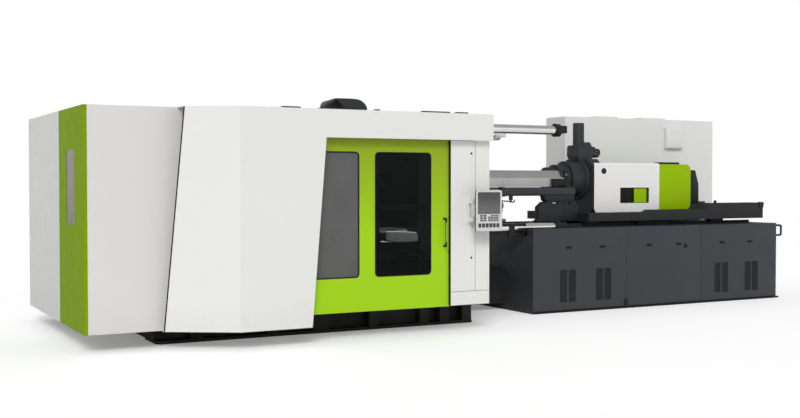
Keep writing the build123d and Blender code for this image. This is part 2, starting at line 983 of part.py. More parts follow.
def front_canopy():
    """The centre cover and the header above the gate, folded from one sheet."""
    outer = canopy_plan(0)
    skin = profile_z(outer + canopy_plan(sheet)[::-1], enclosure_bottom, enclosure_top)
    silhouette = [
        (-canopy_left_bottom, enclosure_bottom),
        (-canopy_right_bottom, enclosure_bottom),
        (-canopy_right_top, header_bottom),
        (canopy_end, header_bottom),
        (canopy_end, enclosure_top),
        (-canopy_left_top, enclosure_top),
    ]
    front = profile_y(silhouette, -canopy_y, -canopy_back)
    skin &= front
    side_y = -enclosure_half_width - gap
    roof_edge = [
        (canopy_end, -canopy_back),
        (-front_left_end + gap, -canopy_back),
        (-front_left_end + gap, side_y),
        (-canopy_left_bottom, side_y),
    ]
    roof = profile_z(outer + roof_edge, enclosure_top - sheet, enclosure_top)
    skin += roof & front
    lip = -canopy_y + canopy_return
    skin += block(canopy_end - sheet, canopy_end, -canopy_y, lip, header_bottom, enclosure_top)
    skin += block(-canopy_right_top - sheet, canopy_end, -canopy_y, lip, header_bottom, header_bottom + sheet)
    edge = [
        (-canopy_right_bottom - sheet, enclosure_bottom),
        (-canopy_right_bottom, enclosure_bottom),
        (-canopy_right_top, header_bottom),
        (-canopy_right_top - sheet, header_bottom),
    ]
    skin += profile_y(edge, -canopy_y, lip)
    sill = canopy_plan(0)[:2] + [(-canopy_right_bottom, -canopy_y)] + [(-canopy_right_bottom, lip)]
    sill += canopy_plan(canopy_return)[1::-1]
    floor = profile_z(sill, enclosure_bottom, enclosure_bottom + sheet)
    return skin + (floor & front)


def column_cover():
    """A folded column cover with a service panel seam in its face."""
    x0 = -column_left
    x1 = canopy_end
    y0 = -column_y
    y1 = y0 + column_depth
    top = header_bottom - gap
    cover = block(x0, x1, y0, y1, column_bottom, top)
    t = column_sheet
    cover -= block(x0 + t, x1 - t, y0 + t, y1, column_bottom, top)
    cover -= block(column_seam_x, column_seam_x + seam_width, y0, y0 + seam_depth, column_seam_bottom, top)
    return cover - block(x0, x1, y0, y0 + seam_depth, column_seam_bottom - seam_width, column_seam_bottom)


def rear_covers():
    """Two lift-off covers, and the header and column around the rear gate."""
    middle = (-enclosure_left - gate_left) / 2
    end = -gate_left + 60
    y = enclosure_half_width
    inner = y - sheet
    covers = []
    for x0, x1 in ((-enclosure_left + fold + gap, middle - gap), (middle, end)):
        outer = block(x0, x1, y - rear_fold, y, enclosure_bottom, enclosure_top)
        low = enclosure_bottom + sheet
        top = enclosure_top - sheet
        covers.append(outer - block(x0 + sheet, x1 - sheet, y - rear_fold - 1, inner, low, top))
    x0 = end + gap
    silhouette = [
        (x0, header_bottom),
        (-column_left, header_bottom),
        (-column_left, column_bottom),
        (canopy_end, column_bottom),
        (canopy_end, enclosure_top),
        (x0, enclosure_top),
    ]
    header = profile_y(silhouette, inner, y)
    header += block(x0, canopy_end, y - rear_roof, inner, enclosure_top - sheet, enclosure_top)
    side = canopy_end - sheet
    header += block(side, canopy_end, y - rear_roof, inner, column_bottom, enclosure_top - sheet)
    return group(header, *covers)


def rail_pair(left, right, face, side):
    """A hanging rail and a bottom guide. face is where the gate leaf's back is."""
    y0, y1 = sorted((face + side * rail_gap, face + side * (rail_gap + rail_depth)))
    rail = block(left, right, y0, y1, rail_bottom, rail_bottom + rail_height)
    guide = block(left, -gate_right, y0, y1, guide_bottom, guide_bottom + guide_height)
    return [rail, guide]


def rail_supports(face, side, places, z0, z1):
    """Bars that hold a rail. Each place pairs where it is along X with the face it comes from."""
    inner = face + side * (rail_gap + rail_depth)
    half = rail_support_reach / 2
    parts = []
    for x, from_face in places:
        y0, y1 = sorted((inner, from_face))
        parts.append(block(x - half, x + half, y0, y1, z0, z1))
    return parts


def gate_rails():
    """Top rails, bottom guides and their supports for both gates."""
    h = post / 2
    bed_face = bed_outer_web + bed_post_depth
    low = rail_bottom - rail_support_height
    high = rail_bottom + rail_support_height
    front = -gate_face + gate_thickness
    left = -gate_left - gate_stroke - 60
    post_face = -front_post_y - h
    parts = rail_pair(left, column_post_x + h, front, 1)
    places = [(x, post_face) for x in post_places[1:]] + [(column_post_x, -front_column_post_y - h)]
    parts += rail_supports(front, 1, places, low, high)
    places = [(post_places[-1], post_face)] + [(x, -bed_face) for x in guide_support_places]
    parts += rail_supports(front, 1, places, guide_bottom, guide_bottom + guide_height)
    rear = rear_gate_face - rear_gate_thickness
    left = -gate_left - rear_gate_stroke - 60
    post_face = rear_post_y + h
    parts += rail_pair(left, column_post_x - h, rear, -1)
    places = [(x, post_face) for x in post_places[1:]]
    parts += rail_supports(rear, -1, places, low, high)
    places = [(post_places[-1], post_face)] + [(x, bed_face) for x in guide_support_places]
    parts += rail_supports(rear, -1, places, guide_bottom, guide_bottom + guide_height)
    return group(*parts)


def hangers(back, side):
    """Two hook plates behind a gate leaf that ride on its rail. side is the way from the leaf to the rail."""
    z = rail_bottom + rail_height
    reach = back + side * (rail_gap + rail_depth + seat_gap)
    y0, y1 = sorted((back, reach))
    tip0, tip1 = sorted((reach, reach + side * hanger_thickness))
    parts = []
    for x in (-gate_left + 120, -gate_right - 120 - hanger_length):
        parts.append(block(x, x + hanger_length, y0, y1, z + seat_gap, z + hanger_thickness))
        parts.append(block(x, x + hanger_length, tip0, tip1, z - hanger_drop, z + hanger_thickness))
    return parts


def gate_leaf(face, side, thickness):
    """A folded gate leaf with a middle rail, open behind. side is the way it faces."""
    x0 = -gate_left
    x1 = -gate_right
    back = face - side * thickness
    leaf = block(x0, x1, face, back, gate_bottom, gate_top)
    core = block(
        x0 + fold, x1 - fold, face - side * sheet, back, gate_bottom + fold, gate_top - fold
    )
    return leaf - core, back


def front_gate():
    """The sliding front gate with two window openings and a frame around each."""
    leaf, back = gate_leaf(-gate_face, -1, gate_thickness)
    for span in (window_left, window_right):
        frame = (span[0] - 30, span[1] + 30)
        rim = block(frame[0], frame[1], -gate_face, back, window_bottom - 30, window_top + 30)
        leaf += rim
    for span in (window_left, window_right):
        leaf -= window_cut(span, -gate_face - 1, back + 1)
        wide = (span[0] - 12, span[1] + 12)
        leaf -= block(
            wide[0], wide[1], -gate_face + pane_setback, back, window_bottom - 12, window_top + 12
        )
    return group(leaf, *hangers(back, 1))


def front_gate_windows():
    """The two panes, seated behind the gate's openings."""
    panes = []
    y0 = -gate_face + pane_setback
    for span in (window_left, window_right):
        panes.append(
            block(span[0] - 11, span[1] + 11, y0, y0 + pane_thickness, window_bottom - 11, window_top + 11)
        )
    return group(*panes)


def front_gate_handle():
    """An upright pull bar on two stand-offs."""
    half = handle_width / 2
    y0 = -gate_face
    y1 = y0 - handle_reach
    bar = block(-handle_x - half, -handle_x + half, y1, y1 + half, handle_bottom, handle_top)
    bar = chamfer(bar.edges().filter_by(Axis.Z).group_by(Axis.Y)[0], handle_edge)
    for z in (handle_bottom + 20, handle_top - 60):
        bar += block(-handle_x - half + 4, -handle_x + half - 4, y1 + half, y0, z, z + 40)
    return bar


def rear_gate():
    """The sliding rear gate, a folded leaf with a pull flange."""
    leaf, back = gate_leaf(rear_gate_face, 1, rear_gate_thickness)
    middle = -(gate_left + gate_right) / 2
    leaf += block(middle - 40, middle + 40, rear_gate_face, back, gate_bottom, gate_top)
    return group(leaf, *hangers(back, -1))


# Operator panel

def operator_bracket():
    """A plate on the column with two lugs and the hinge pin."""
    y0 = -column_y - bracket_plate
    middle = (panel_bottom + panel_top) / 2
    half = hinge_span / 2
    lug = hinge_lug / 2
    plate = block(hinge_x - 60, hinge_x + 160, y0, -column_y, middle - half - 20, middle + half + 20)
    for side in (-1, 1):
        z0, z1 = sorted((middle + side * half, middle + side * (half - hinge_lug_height)))
        plate += block(hinge_x - lug, hinge_x + lug, -hinge_y - lug, y0, z0, z1)
    return plate + rod_z(hinge_x, -hinge_y, middle - half, middle + half, hinge_pin_radius)


def operator_panel():
    """The panel housing with its screen recess and the hinge knuckle behind."""
    y0 = -panel_front
    y1 = y0 + panel_depth
    body = block(panel_left, panel_right, y0, y1, panel_bottom, panel_top)
    body = chamfer(body.edges().filter_by(Axis.Y), panel_corner)
    body -= screen_block(0)
    middle = (panel_bottom + panel_top) / 2
    half = hinge_span / 2 - hinge_lug_height - seat_gap
    lug = hinge_lug / 2
    arm = block(hinge_x - hinge_arm / 2, hinge_x + hinge_arm / 2, y1, -hinge_y, middle - half, middle + half)
    arm += block(hinge_x - lug, hinge_x + lug, -hinge_y - lug, -hinge_y + lug, middle - half, middle + half)
    outline = Plane(origin=(hinge_x, -hinge_y, middle - half))
    bore = RegularPolygon(hinge_pin_radius + running_fit, bore_sides, major_radius=False)
    arm -= extrude(outline * bore, 2 * half)
    return body + arm


def screen_block(inset):
    z1 = panel_top - screen_top_inset
    return block(
        panel_left + screen_inset + inset,
        panel_right - screen_inset - inset,
        -panel_front,
        -panel_front + screen_thickness,
        z1 - screen_height + inset,
        z1 - inset,
    )


# Injection bed

def trough(side):
    """The channel that clears a lower tie bar."""
    y0, y1 = sorted((side * trough_inner, side * trough_outer))
    return block(injection_left, trough_end, y0, y1, trough_bottom, injection_height)


def injection_bed():
    """A welded bed of plates: deck with tie bar channels, beams, bulkheads, ends and floor plate."""
    x0 = injection_left
    x1 = injection_right
    front = -injection_front
    rear = injection_rear
    top = injection_height - deck
    low = trough_bottom - trough_wall
    beam_left = x0 + frame_wall
    beam_right = x1 - frame_wall
    bed = block(x0, x1, front, rear, top, injection_height)
    bed += block(x0, beam_left, front, rear, low, top)
    for side in (-1, 1):
        y0, y1 = sorted((side * (trough_inner - trough_wall), side * (trough_outer + trough_wall)))
        bed += block(x0, trough_end + trough_wall, y0, y1, low, top)
    for side in (-1, 1):
        bed -= trough(side)
    plates = [bed, block(x0, x1 + lip_right, front - lip_front, rear, 0, lip_height)]
    plates.append(block(x0, beam_left, front, rear, lip_height, low))
    plates.append(block(beam_right, x1, front, rear, lip_height, top))
    for y in (front, rear - frame_wall):
        plates.append(block(beam_left, beam_right, y, y + frame_wall, beam_bottom, top))
    inner_front = front + frame_wall
    inner_rear = rear - frame_wall
    for x in bulkheads:
        plates.append(block(x - frame_wall / 2, x + frame_wall / 2, inner_front, inner_rear, lip_height, top))
    end = x1 + console_length
    outline = [(x1, top - console_drop), (end, top - 60), (end, injection_height), (x1, injection_height)]
    for y in (cabinet_front + frame_wall, injection_rear - 2 * frame_wall):
        plates.append(profile_y(outline, y, y + frame_wall))
    return group(*plates)


def bed_cover(x0, x1, y_face, side):
    """A folded lift-off cover of the injection bed."""
    return pan(x0, x1, cover_bottom, beam_bottom - gap, y_face, side)


def cover_spans():
    edges = (injection_left + frame_wall + gap,) + bulkheads + (injection_right - frame_wall - gap,)
    return [(edges[i] + gap / 2, edges[i + 1] - gap / 2) for i in range(3)]


def vent_spans():
    """The upright vent openings, in pairs."""
    spans = []
    for x in vent_places:
        for side in (-1, 1):
            centre = x + side * vent_pitch / 2
            spans.append((centre - vent_width / 2, centre + vent_width / 2))
    return spans


def front_cover(index):
    """One front cover with its grip recesses and its vents."""
    x0, x1 = cover_spans()[index]
    y = -injection_front
    cover = bed_cover(x0, x1, y, 1)
    low = grip_height - grip_rise / 2
    for x in grip_places:
        if x0 < x < x1:
            cover -= block(x - grip_width / 2, x + grip_width / 2, y, y + sheet, low, low + grip_rise)
    for v0, v1 in vent_spans():
        if x0 < v0 and v1 < x1:
            cover -= block(v0, v1, y, y + sheet, vent_bottom, vent_bottom + vent_height)
    return cover


def bed_vents():
    """Tilted slats, each behind a pair of vent openings."""
    y0 = -injection_front + sheet
    y1 = y0 + slat_depth
    pitch = vent_height / vent_slats
    slats = []
    reach = (vent_pitch + vent_width) / 2 + slat_lap
    for x in vent_places:
        for index in range(vent_slats):
            z = vent_bottom + index * pitch + 10
            section = [(y0, z), (y1, z + slat_rise), (y1, z + slat_rise + slat_height), (y0, z + slat_height)]
            slats.append(profile_x(section, x - reach, x + reach))
    return group(*slats)


def bed_rear_covers():
    """The three covers on the rear of the injection bed."""
    return group(*[bed_cover(x0, x1, injection_rear, -1) for x0, x1 in cover_spans()])


def lifting_handle():
    """A bent bar on the end of the injection bed, with cut corners."""
    t = loop_thickness
    x0 = injection_right
    x1 = x0 + loop_reach
    z1 = injection_height - 30
    z0 = z1 - loop_height
    c = loop_corner
    outer = [(x0, z0), (x1 - c, z0), (x1, z0 + c), (x1, z1 - c), (x1 - c, z1), (x0, z1)]
    k = c - t * 0.4
    inner = [
        (x0, z0 + t),
        (x1 - t - k, z0 + t),
        (x1 - t, z0 + t + k),
        (x1 - t, z1 - t - k),
        (x1 - t - k, z1 - t),
        (x0, z1 - t),
    ]
    y0 = -loop_y - t / 2
    return profile_y(outer, y0, y0 + t) - profile_y(inner, y0, y0 + t)


# Sled and carriage

def sled_rails():
    """Two guide rails on the deck."""
    y0 = -rail_y - rail_width / 2
    rail = block(rail_start, rail_end, y0, y0 + rail_width, injection_height, rail_top)
    return group(rail, mirrored(rail))


def rail_shoe(x0, x1, top):
    """A guide shoe that grips a rail from both sides."""
    half = rail_width / 2
    outer = half + shoe_side
    shoe = block(x0, x1, -rail_y - outer, -rail_y + outer, injection_height + 12, top)
    c = shoe_clearance
    return shoe - block(x0, x1, -rail_y - half - c, -rail_y + half + c, injection_height, rail_top + c)


def sled():
    """The injection sled: two shaped side beams, cross members and guide shoes."""
    side_view = [
        (sled_left, sled_bottom),
        (sled_right, sled_bottom),
        (sled_right, sled_high_top),
        (sled_ramp_end, sled_high_top),
        (sled_ramp_start, sled_mid_top),
        (sled_step, sled_mid_top),
        (sled_step - 60, sled_low_top),
        (sled_left, sled_low_top),
    ]
    beam = profile_y(side_view, -sled_half_width, -sled_inner)
    for x in shoe_places:
        beam += rail_shoe(x, x + shoe_length, sled_bottom)
    frame = beam + mirrored(beam)
    for x, width in sled_crosses:
        frame += block(x, x + width, -sled_inner, sled_inner, sled_bottom, sled_cross_top)
    return frame


def carriage_block():
    """The dark block in front of the sled that rides on the rails."""
    heel = block_bottom + 60
    side_view = [
        (block_left, block_bottom),
        (block_left + 110, block_bottom),
        (block_left + 150, heel),
        (block_right - 150, heel),
        (block_right - 110, block_bottom),
        (block_right, block_bottom),
        (block_right, block_top),
        (block_left + 90, block_top),
        (block_left + 60, block_top - 50),
        (block_left, block_top - 50),
    ]
    arch = profile_y(side_view, -block_half_width, block_half_width)
    front = -block_half_width
    pocket = block(block_left + 200, block_right - 120, front, front + 60, heel + 40, block_top - 60)
    arch -= pocket + mirrored(pocket)
    for x in (block_left, block_right - 260):
        shoe = rail_shoe(x, x + 260, block_bottom)
        arch += shoe + mirrored(shoe)
    return arch


def neck_solids(clearance):
    """The stepped neck in front of the injection plate, turned with many flats."""
    ends = [start for start, radius in neck_steps[1:]] + [plate_front - disc_depth]
    solids = []
    for (start, radius), end in zip(neck_steps, ends):
        solids.append(flatted_x(start, end, 0, axis_height, radius + clearance, neck_sides))
    return solids


def injection_plate():
    """The front casting: plate, disc, stepped neck and the feed throat on top, and the pipe on it."""
    w = plate_half_width
    t = plate_top_corner
    b = plate_bottom_corner
    right = [(w - b, plate_bottom), (w, plate_bottom + b), (w, plate_top - t), (w - t, plate_top)]
    outline = right + [(-y, z) for y, z in reversed(right)]
    x0 = plate_front
    x1 = x0 + plate_depth
    casting = profile_x(outline, x0, x1)
    casting += flatted_x(x0 - disc_depth, x0, 0, axis_height, disc_radius, neck_sides)
    for step in neck_solids(0):
        casting += step
    throat = [
        (x0 - disc_depth, plate_top - 60),
        (x1, plate_top - 60),
        (x1, plate_top + 30),
        (throat_x + 130, throat_top),
        (throat_x - 120, throat_top),
        (x0 - disc_depth - 60, plate_top + 60),
    ]
    casting += profile_y(throat, -throat_half_y, throat_half_y)
    bore = flatted_x(neck_steps[0][0], x1, 0, axis_height, barrel_radius, bore_sides)
    return group(casting - bore, feed_pipe())


def feed_pipe():
    """The round feed pipe on its square flange."""
    z0 = throat_top
    z1 = z0 + pipe_flange_height
    half = pipe_flange
    x = throat_x
    return block(x - half, x + half, -half, half, z0, z1) + rod_z(x, 0, z1, pipe_top, pipe_radius)


def barrel():
    """The plasticising barrel."""
    end = plate_front + plate_depth
    tube = flatted_x(barrel_start, end, 0, axis_height, barrel_radius, bore_sides)
    return tube - rod_x(barrel_start, end, 0, axis_height, screw_radius + running_fit)


def nozzle():
    """The nozzle: a tapered tip in front of a hexagonal body on the barrel."""
    plane = Plane(origin=(nozzle_hex_start, 0, axis_height), x_dir=(0, 1, 0), z_dir=(1, 0, 0))
    body = extrude(plane * RegularPolygon(nozzle_hex_radius, 6), barrel_start - nozzle_hex_start)
    return body + taper_x(nozzle_tip, nozzle_hex_start, nozzle_tip_half, nozzle_shoulder_half)


def heater_guard():
    """The folded guard over the heated barrel, with a sloped top. It ends against the neck."""
    outer = [
        (-guard_half_width, guard_bottom),
        (guard_half_width, guard_bottom),
        (guard_half_width, guard_mid),
        (guard_half_top, guard_top),
        (-guard_half_top, guard_top),
        (-guard_half_width, guard_mid),
    ]
    t = guard_sheet
    inner = [
        (-guard_half_width + t, guard_bottom - 1),
        (guard_half_width - t, guard_bottom - 1),
        (guard_half_width - t, guard_mid),
        (guard_half_top, guard_top - t),
        (-guard_half_top, guard_top - t),
        (-guard_half_width + t, guard_mid),
    ]
    guard = profile_x(outer, guard_start, guard_top_end) - profile_x(inner, guard_start, guard_top_end)
    half = guard_half_width
    guard -= block(guard_low_end, guard_top_end, -half, half, guard_bottom, guard_mid - guard_lap)
    for step in neck_solids(0):
        guard -= step
    return guard


def screw():
    """The screw, left plain along its flighted length."""
    return rod_x(screw_start, screw_end, 0, axis_height, screw_radius)


def nozzle_cylinders():
    """Two cylinders that pull the sled towards the fixed platen."""
    bodies = []
    x0 = nozzle_cylinder_start
    z = nozzle_cylinder_z
    for side in (-1, 1):
        y = side * nozzle_cylinder_y
        body = square_bar_x(x0, plate_front, y, z, nozzle_cylinder_half)
        bodies.append(body - rod_bore_x(x0, nozzle_rod_end + 20, y, z, nozzle_rod_radius))
    return group(*bodies)


def nozzle_cylinder_rods():
    """Their rods, on square flanges behind the fixed platen."""
    rods = []
    x0 = fixed_platen_depth
    x1 = x0 + nozzle_flange_depth
    half = nozzle_flange / 2
    z = nozzle_cylinder_z
    for side in (-1, 1):
        y = side * nozzle_cylinder_y
        rods.append(rod_x(x1, nozzle_rod_end, y, z, nozzle_rod_radius))
        rods.append(block(x0, x1, y - half, y + half, z - half, z + half))
    return group(*rods)


def terminal_box():
    """The dark connection box at the end of the heater guard's side."""
    top = guard_mid - guard_lap
    front = -guard_half_width - terminal_depth
    box = block(terminal_left, terminal_left + terminal_length, front, -guard_half_width, guard_bottom, top)
    return chamfer(box.faces().sort_by(Axis.Y)[0].edges(), 8)


# Injection drive

def ram_places():
    """The two injection ram axes, on opposite sides of the screw."""
    return [(-ram_y, axis_height - ram_z), (ram_y, axis_height + ram_z)]


def injection_cylinders():
    """Two injection cylinders between the plate and the thrust housing, in blocks with cut corners."""
    x0 = plate_front + plate_depth
    half = ram_block / 2
    bodies = []
    for y, z in ram_places():
        body = Location((0, y, 0)) * profile_x(octagon(half, half, ram_block_corner, z), x0, ram_end)
        bodies.append(body - rod_bore_x(ram_tail - 20, ram_end, y, z, ram_rod_radius))
    return group(*bodies)


def thrust_housing():
    """The housing that takes the screw's thrust, with the two ram rods."""
    outline = octagon(drive_half_width - cover_sheet, thrust_half_height, thrust_corner, axis_height)
    housing = profile_x(outline, thrust_left, thrust_right)
    housing -= rod_bore_x(thrust_left, screw_end, 0, axis_height, screw_radius)
    rods = [rod_x(ram_tail, thrust_left, y, z, ram_rod_radius) for y, z in ram_places()]
    return group(housing, *rods)


def gearbox_outline(clearance):
    """The motor block's outline with its cut corners."""
    half = (gearbox_top - gearbox_bottom) / 2 + clearance
    middle = (gearbox_top + gearbox_bottom) / 2
    return octagon(gearbox_half_width + clearance, half, gearbox_corner, middle)


def screw_motor():
    """The drive motor behind the housing, with the block that shows behind the cover."""
    outline = octagon(motor_radius, motor_radius, motor_radius * 0.59, axis_height)
    body = profile_x(outline, thrust_right, motor_end)
    rear = profile_x(gearbox_outline(0), motor_end, gearbox_end)
    return body + chamfer(rear.faces().sort_by(Axis.X)[-1].edges(), 20)


def drive_cover():
    """The coloured cover that travels with the drive: open below and in front, round at its far corners."""
    half = drive_half_width
    t = cover_sheet
    cover = block(drive_left, drive_right, -half, half, drive_bottom, drive_top)
    cover = fillet(cover.edges().group_by(Axis.X)[-1].filter_by(Axis.Z), drive_corner)
    inner_right = drive_right - t
    inner = block(drive_left - 1, inner_right, -half + t, half - t, drive_bottom - 1, drive_top - t)
    inner = fillet(inner.edges().group_by(Axis.X)[-1].filter_by(Axis.Z), drive_corner - t)
    return cover - inner - profile_x(gearbox_outline(gearbox_gap), motor_end - 1, drive_right + 1)


def injection_cover():
    """The white cover with its window slot and peephole, open at both ends."""
    w = cover_half_width
    t = cover_sheet
    bottom = cover_bottom_z
    cover = block(cover_left, cover_right, -w, w, bottom, cover_top)
    cover = fillet(cover.edges().filter_by(Axis.X).group_by(Axis.Z)[-1], cover_corner)
    inner = block(cover_left, cover_right, -w + t, w - t, bottom, cover_top - t)
    cover -= chamfer(inner.edges().filter_by(Axis.X).group_by(Axis.Z)[-1], cover_inner_cut)
    cover -= block(slot_left, slot_right, -w, w, slot_bottom, slot_top)
    face = Plane(origin=(peep_x, -w + t, peep_z), x_dir=(1, 0, 0), z_dir=(0, -1, 0))
    cover -= extrude(face * RegularPolygon(peep_radius, peep_sides), t)
    notch = plate_half_width + cover_notch_gap
    plate_back = plate_front + plate_depth
    cover -= block(cover_left, plate_back + cover_notch_gap, -notch, notch, cover_top - 100, cover_top)
    corner = [(cover_left, bottom), (cover_left + cover_cut, bottom), (cover_left, bottom + cover_cut)]
    return cover - profile_y(corner, -w, w)


# Control cabinet

def control_cabinet():
    """The tall cabinet with two shallow roof units, open behind for its doors."""
    z0 = injection_height
    y0 = cabinet_front
    y1 = injection_rear - door_thickness
    cabinet = block(cabinet_left, cabinet_right, y0, y1, z0, cabinet_top)
    cabinet -= block(
        cabinet_left + fold, cabinet_right - fold, y0 + sheet, y1, z0 + cabinet_plinth, cabinet_top - fold
    )
    for x0, x1 in cabinet_lids:
        cabinet += block(x0, x1, y0 + 40, y1 - 40, cabinet_top, cabinet_top + lid_height)
    middle = (cabinet_left + cabinet_right) / 2
    return cabinet + block(middle - 30, middle + 30, y1 - 60, y1, z0 + cabinet_plinth, cabinet_top - fold)


def cabinet_door(side):
    """One cabinet door. side is -1 for the left one and 1 for the right one."""
    middle = (cabinet_left + cabinet_right) / 2
    if side < 0:
        x0, x1 = cabinet_left + gap, middle - gap
    else:
        x0, x1 = middle + gap, cabinet_right - gap
    y0 = injection_rear - door_thickness + seat_gap
    y1 = injection_rear + seat_gap
    z0 = injection_height + cabinet_plinth / 2
    door = block(x0, x1, y0, y1, z0, cabinet_top - 15)
    inner = block(x0 + sheet, x1 - sheet, y0 - 1, y1 - sheet, z0 + sheet, cabinet_top - 15 - sheet)
    return door - inner


def junction_box():
    """The small box on the cabinet's front."""
    y0 = cabinet_front - junction_depth
    box = block(junction_x[0], junction_x[1], y0, cabinet_front, junction_z[0], junction_z[1])
    return chamfer(box.faces().sort_by(Axis.Y)[0].edges(), 10)


nodes = {
    "clamp_bed": clamp_bed(),
    "fixed_platen": fixed_platen(),
    "clamp_cylinders": clamp_cylinders(),
    "nut_guides": nut_guides(),
    "traverse_cylinders": traverse_cylinders(),
    "nozzle_cylinder_rods": nozzle_cylinder_rods(),
    "moving_platen": moving_platen(),
    "tie_bars": tie_bars(),
    "tie_bar_nuts": tie_bar_nuts(),
    "tie_bar_collars": tie_bar_collars(),
    "platen_hood": platen_hood(),
    "traverse_rods": traverse_rods(),
    "ejector_cylinder": ejector_cylinder(),
    "ejector_plate": ejector_plate(),
    "nut_halves_front": nut_halves(-1),
    "nut_halves_rear": nut_halves(1),
    "enclosure_frame": enclosure_frame(),
    "end_wall": end_wall(),
    "corner_panel": corner_panel(),
    "corner_window": corner_window(),
    "front_left_panel": front_left_panel(),
    "roof_panel": roof_panel(),
    "front_canopy": front_canopy(),
    "column_cover": column_cover(),
    "rear_covers": rear_covers(),
    "gate_rails": gate_rails(),
    "front_gate": front_gate(),
    "front_gate_windows": front_gate_windows(),
    "front_gate_handle": front_gate_handle(),
    "rear_gate": rear_gate(),
    "operator_bracket": operator_bracket(),
    "operator_panel": operator_panel(),
    "operator_screen": screen_block(1),
    "injection_bed": injection_bed(),
    "bed_cover_left": front_cover(0),
    "bed_cover_middle": front_cover(1),
    "bed_cover_right": front_cover(2),
    "bed_vents": bed_vents(),
    "bed_rear_covers": bed_rear_covers(),
    "lifting_handle": lifting_handle(),
    "sled_rails": sled_rails(),
    "sled": sled(),
    "carriage_block": carriage_block(),
    "injection_plate": injection_plate(),
    "barrel": barrel(),
    "nozzle": nozzle(),
    "heater_guard": heater_guard(),
    "terminal_box": terminal_box(),
    "nozzle_cylinders": nozzle_cylinders(),
    "injection_cylinders": injection_cylinders(),
    "injection_cover": injection_cover(),
    "thrust_housing": thrust_housing(),
    "drive_cover": drive_cover(),
    "screw_motor": screw_motor(),
    "screw": screw(),
    "control_cabinet": control_cabinet(),
    "cabinet_door_left": cabinet_door(-1),
    "cabinet_door_right": cabinet_door(1),
    "junction_box": junction_box(),
}

os.makedirs("parts", exist_ok=True)
for name, shape in nodes.items():
    export_step(shape, f"parts/{name}.step")
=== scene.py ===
import math

import bmesh
import bpy
from mathutils import Matrix, Vector

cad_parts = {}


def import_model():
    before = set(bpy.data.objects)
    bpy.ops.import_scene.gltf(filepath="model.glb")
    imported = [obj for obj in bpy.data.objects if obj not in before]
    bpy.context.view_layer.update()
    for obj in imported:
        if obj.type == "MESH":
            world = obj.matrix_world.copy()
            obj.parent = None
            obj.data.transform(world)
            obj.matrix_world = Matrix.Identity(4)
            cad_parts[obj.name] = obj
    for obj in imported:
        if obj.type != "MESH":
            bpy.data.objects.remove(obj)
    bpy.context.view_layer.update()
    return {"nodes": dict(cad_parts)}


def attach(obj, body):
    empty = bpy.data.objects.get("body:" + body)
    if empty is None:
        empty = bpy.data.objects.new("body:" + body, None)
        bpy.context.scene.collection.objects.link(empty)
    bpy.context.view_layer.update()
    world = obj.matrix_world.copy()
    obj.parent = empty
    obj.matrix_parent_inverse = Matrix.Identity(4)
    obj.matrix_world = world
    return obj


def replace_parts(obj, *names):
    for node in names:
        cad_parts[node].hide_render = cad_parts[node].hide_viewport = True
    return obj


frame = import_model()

# Places of faces and centre lines, in millimetres in the frame's axes

MM = 0.001
AXIS_Z = 2060
BAR_SIDE = 850
BAR_LEVEL = 750
BARS = [(side * BAR_SIDE, AXIS_Z + level * BAR_LEVEL) for side in (-1, 1) for level in (-1, 1)]
GATE_FACE_Y = -2265
PANE_BACK_Y = -2249.5
PANE_FRONT_Y = -2256.5
COLUMN_FACE_Y = -2300
PLATEN_BACK_X = 750
COLLAR_START_X = 2550
COLLAR_END_X = 2750
BED_LEFT_X = 1974
BED_RIGHT_X = 7098
BED_TOP_Z = 1291
SHEET_FACE_Y = -1115
COVER_FACE_Y = -440
DRIVE_FACE_Y = -425
BEAM_FACE_Y = -560


# Colours

def srgb(r, g, b):
    """A colour given in 0 to 255, as linear values."""
    def channel(v):
        v /= 255
        return v / 12.92 if v <= 0.04045 else ((v + 0.055) / 1.055) ** 2.4
    return tuple(channel(v) for v in (r, g, b))


def shade(colour, factor):
    return tuple(min(1.0, c * factor) for c in colour)


# Materials

def start_material(name):
    mat = bpy.data.materials.new(name)
    mat.use_nodes = True
    tree = mat.node_tree
    tree.nodes.clear()
    out = tree.nodes.new("ShaderNodeOutputMaterial")
    shader = tree.nodes.new("ShaderNodeBsdfPrincipled")
    tree.links.new(shader.outputs[0], out.inputs[0])
    coords = tree.nodes.new("ShaderNodeTexCoord")
    return mat, tree, shader, coords.outputs["Object"]


def noise_node(tree, coords, scale, detail=3.0, rough=0.55, stretch=None):
    if stretch:
        mapping = tree.nodes.new("ShaderNodeMapping")
        mapping.inputs["Scale"].default_value = stretch
        tree.links.new(coords, mapping.inputs[0])
        coords = mapping.outputs[0]
    node = tree.nodes.new("ShaderNodeTexNoise")
    node.inputs["Scale"].default_value = scale
    node.inputs["Detail"].default_value = detail
    node.inputs["Roughness"].default_value = rough
    tree.links.new(coords, node.inputs["Vector"])
    return node.outputs["Fac"]


def map_range(tree, value, low, high, to_low, to_high, smooth=False):
    node = tree.nodes.new("ShaderNodeMapRange")
    node.clamp = True
    if smooth:
        node.interpolation_type = "SMOOTHSTEP"
    tree.links.new(value, node.inputs[0])
    for index, number in enumerate((low, high, to_low, to_high)):
        node.inputs[index + 1].default_value = number
    return node.outputs[0]


def mix_colours(tree, factor, a, b):
    """Mixes two colours, each a socket or a plain colour."""
    node = tree.nodes.new("ShaderNodeMix")
    node.data_type = "RGBA"
    tree.links.new(factor, node.inputs["Factor"])
    for socket, value in ((node.inputs[6], a), (node.inputs[7], b)):
        if isinstance(value, tuple):
            socket.default_value = (*value, 1)
        else:
            tree.links.new(value, socket)
    return node.outputs[2]


def math_node(tree, operation, a, b):
    node = tree.nodes.new("ShaderNodeMath")
    node.operation = operation
    tree.links.new(a, node.inputs[0])
    tree.links.new(b, node.inputs[1])
    return node.outputs[0]


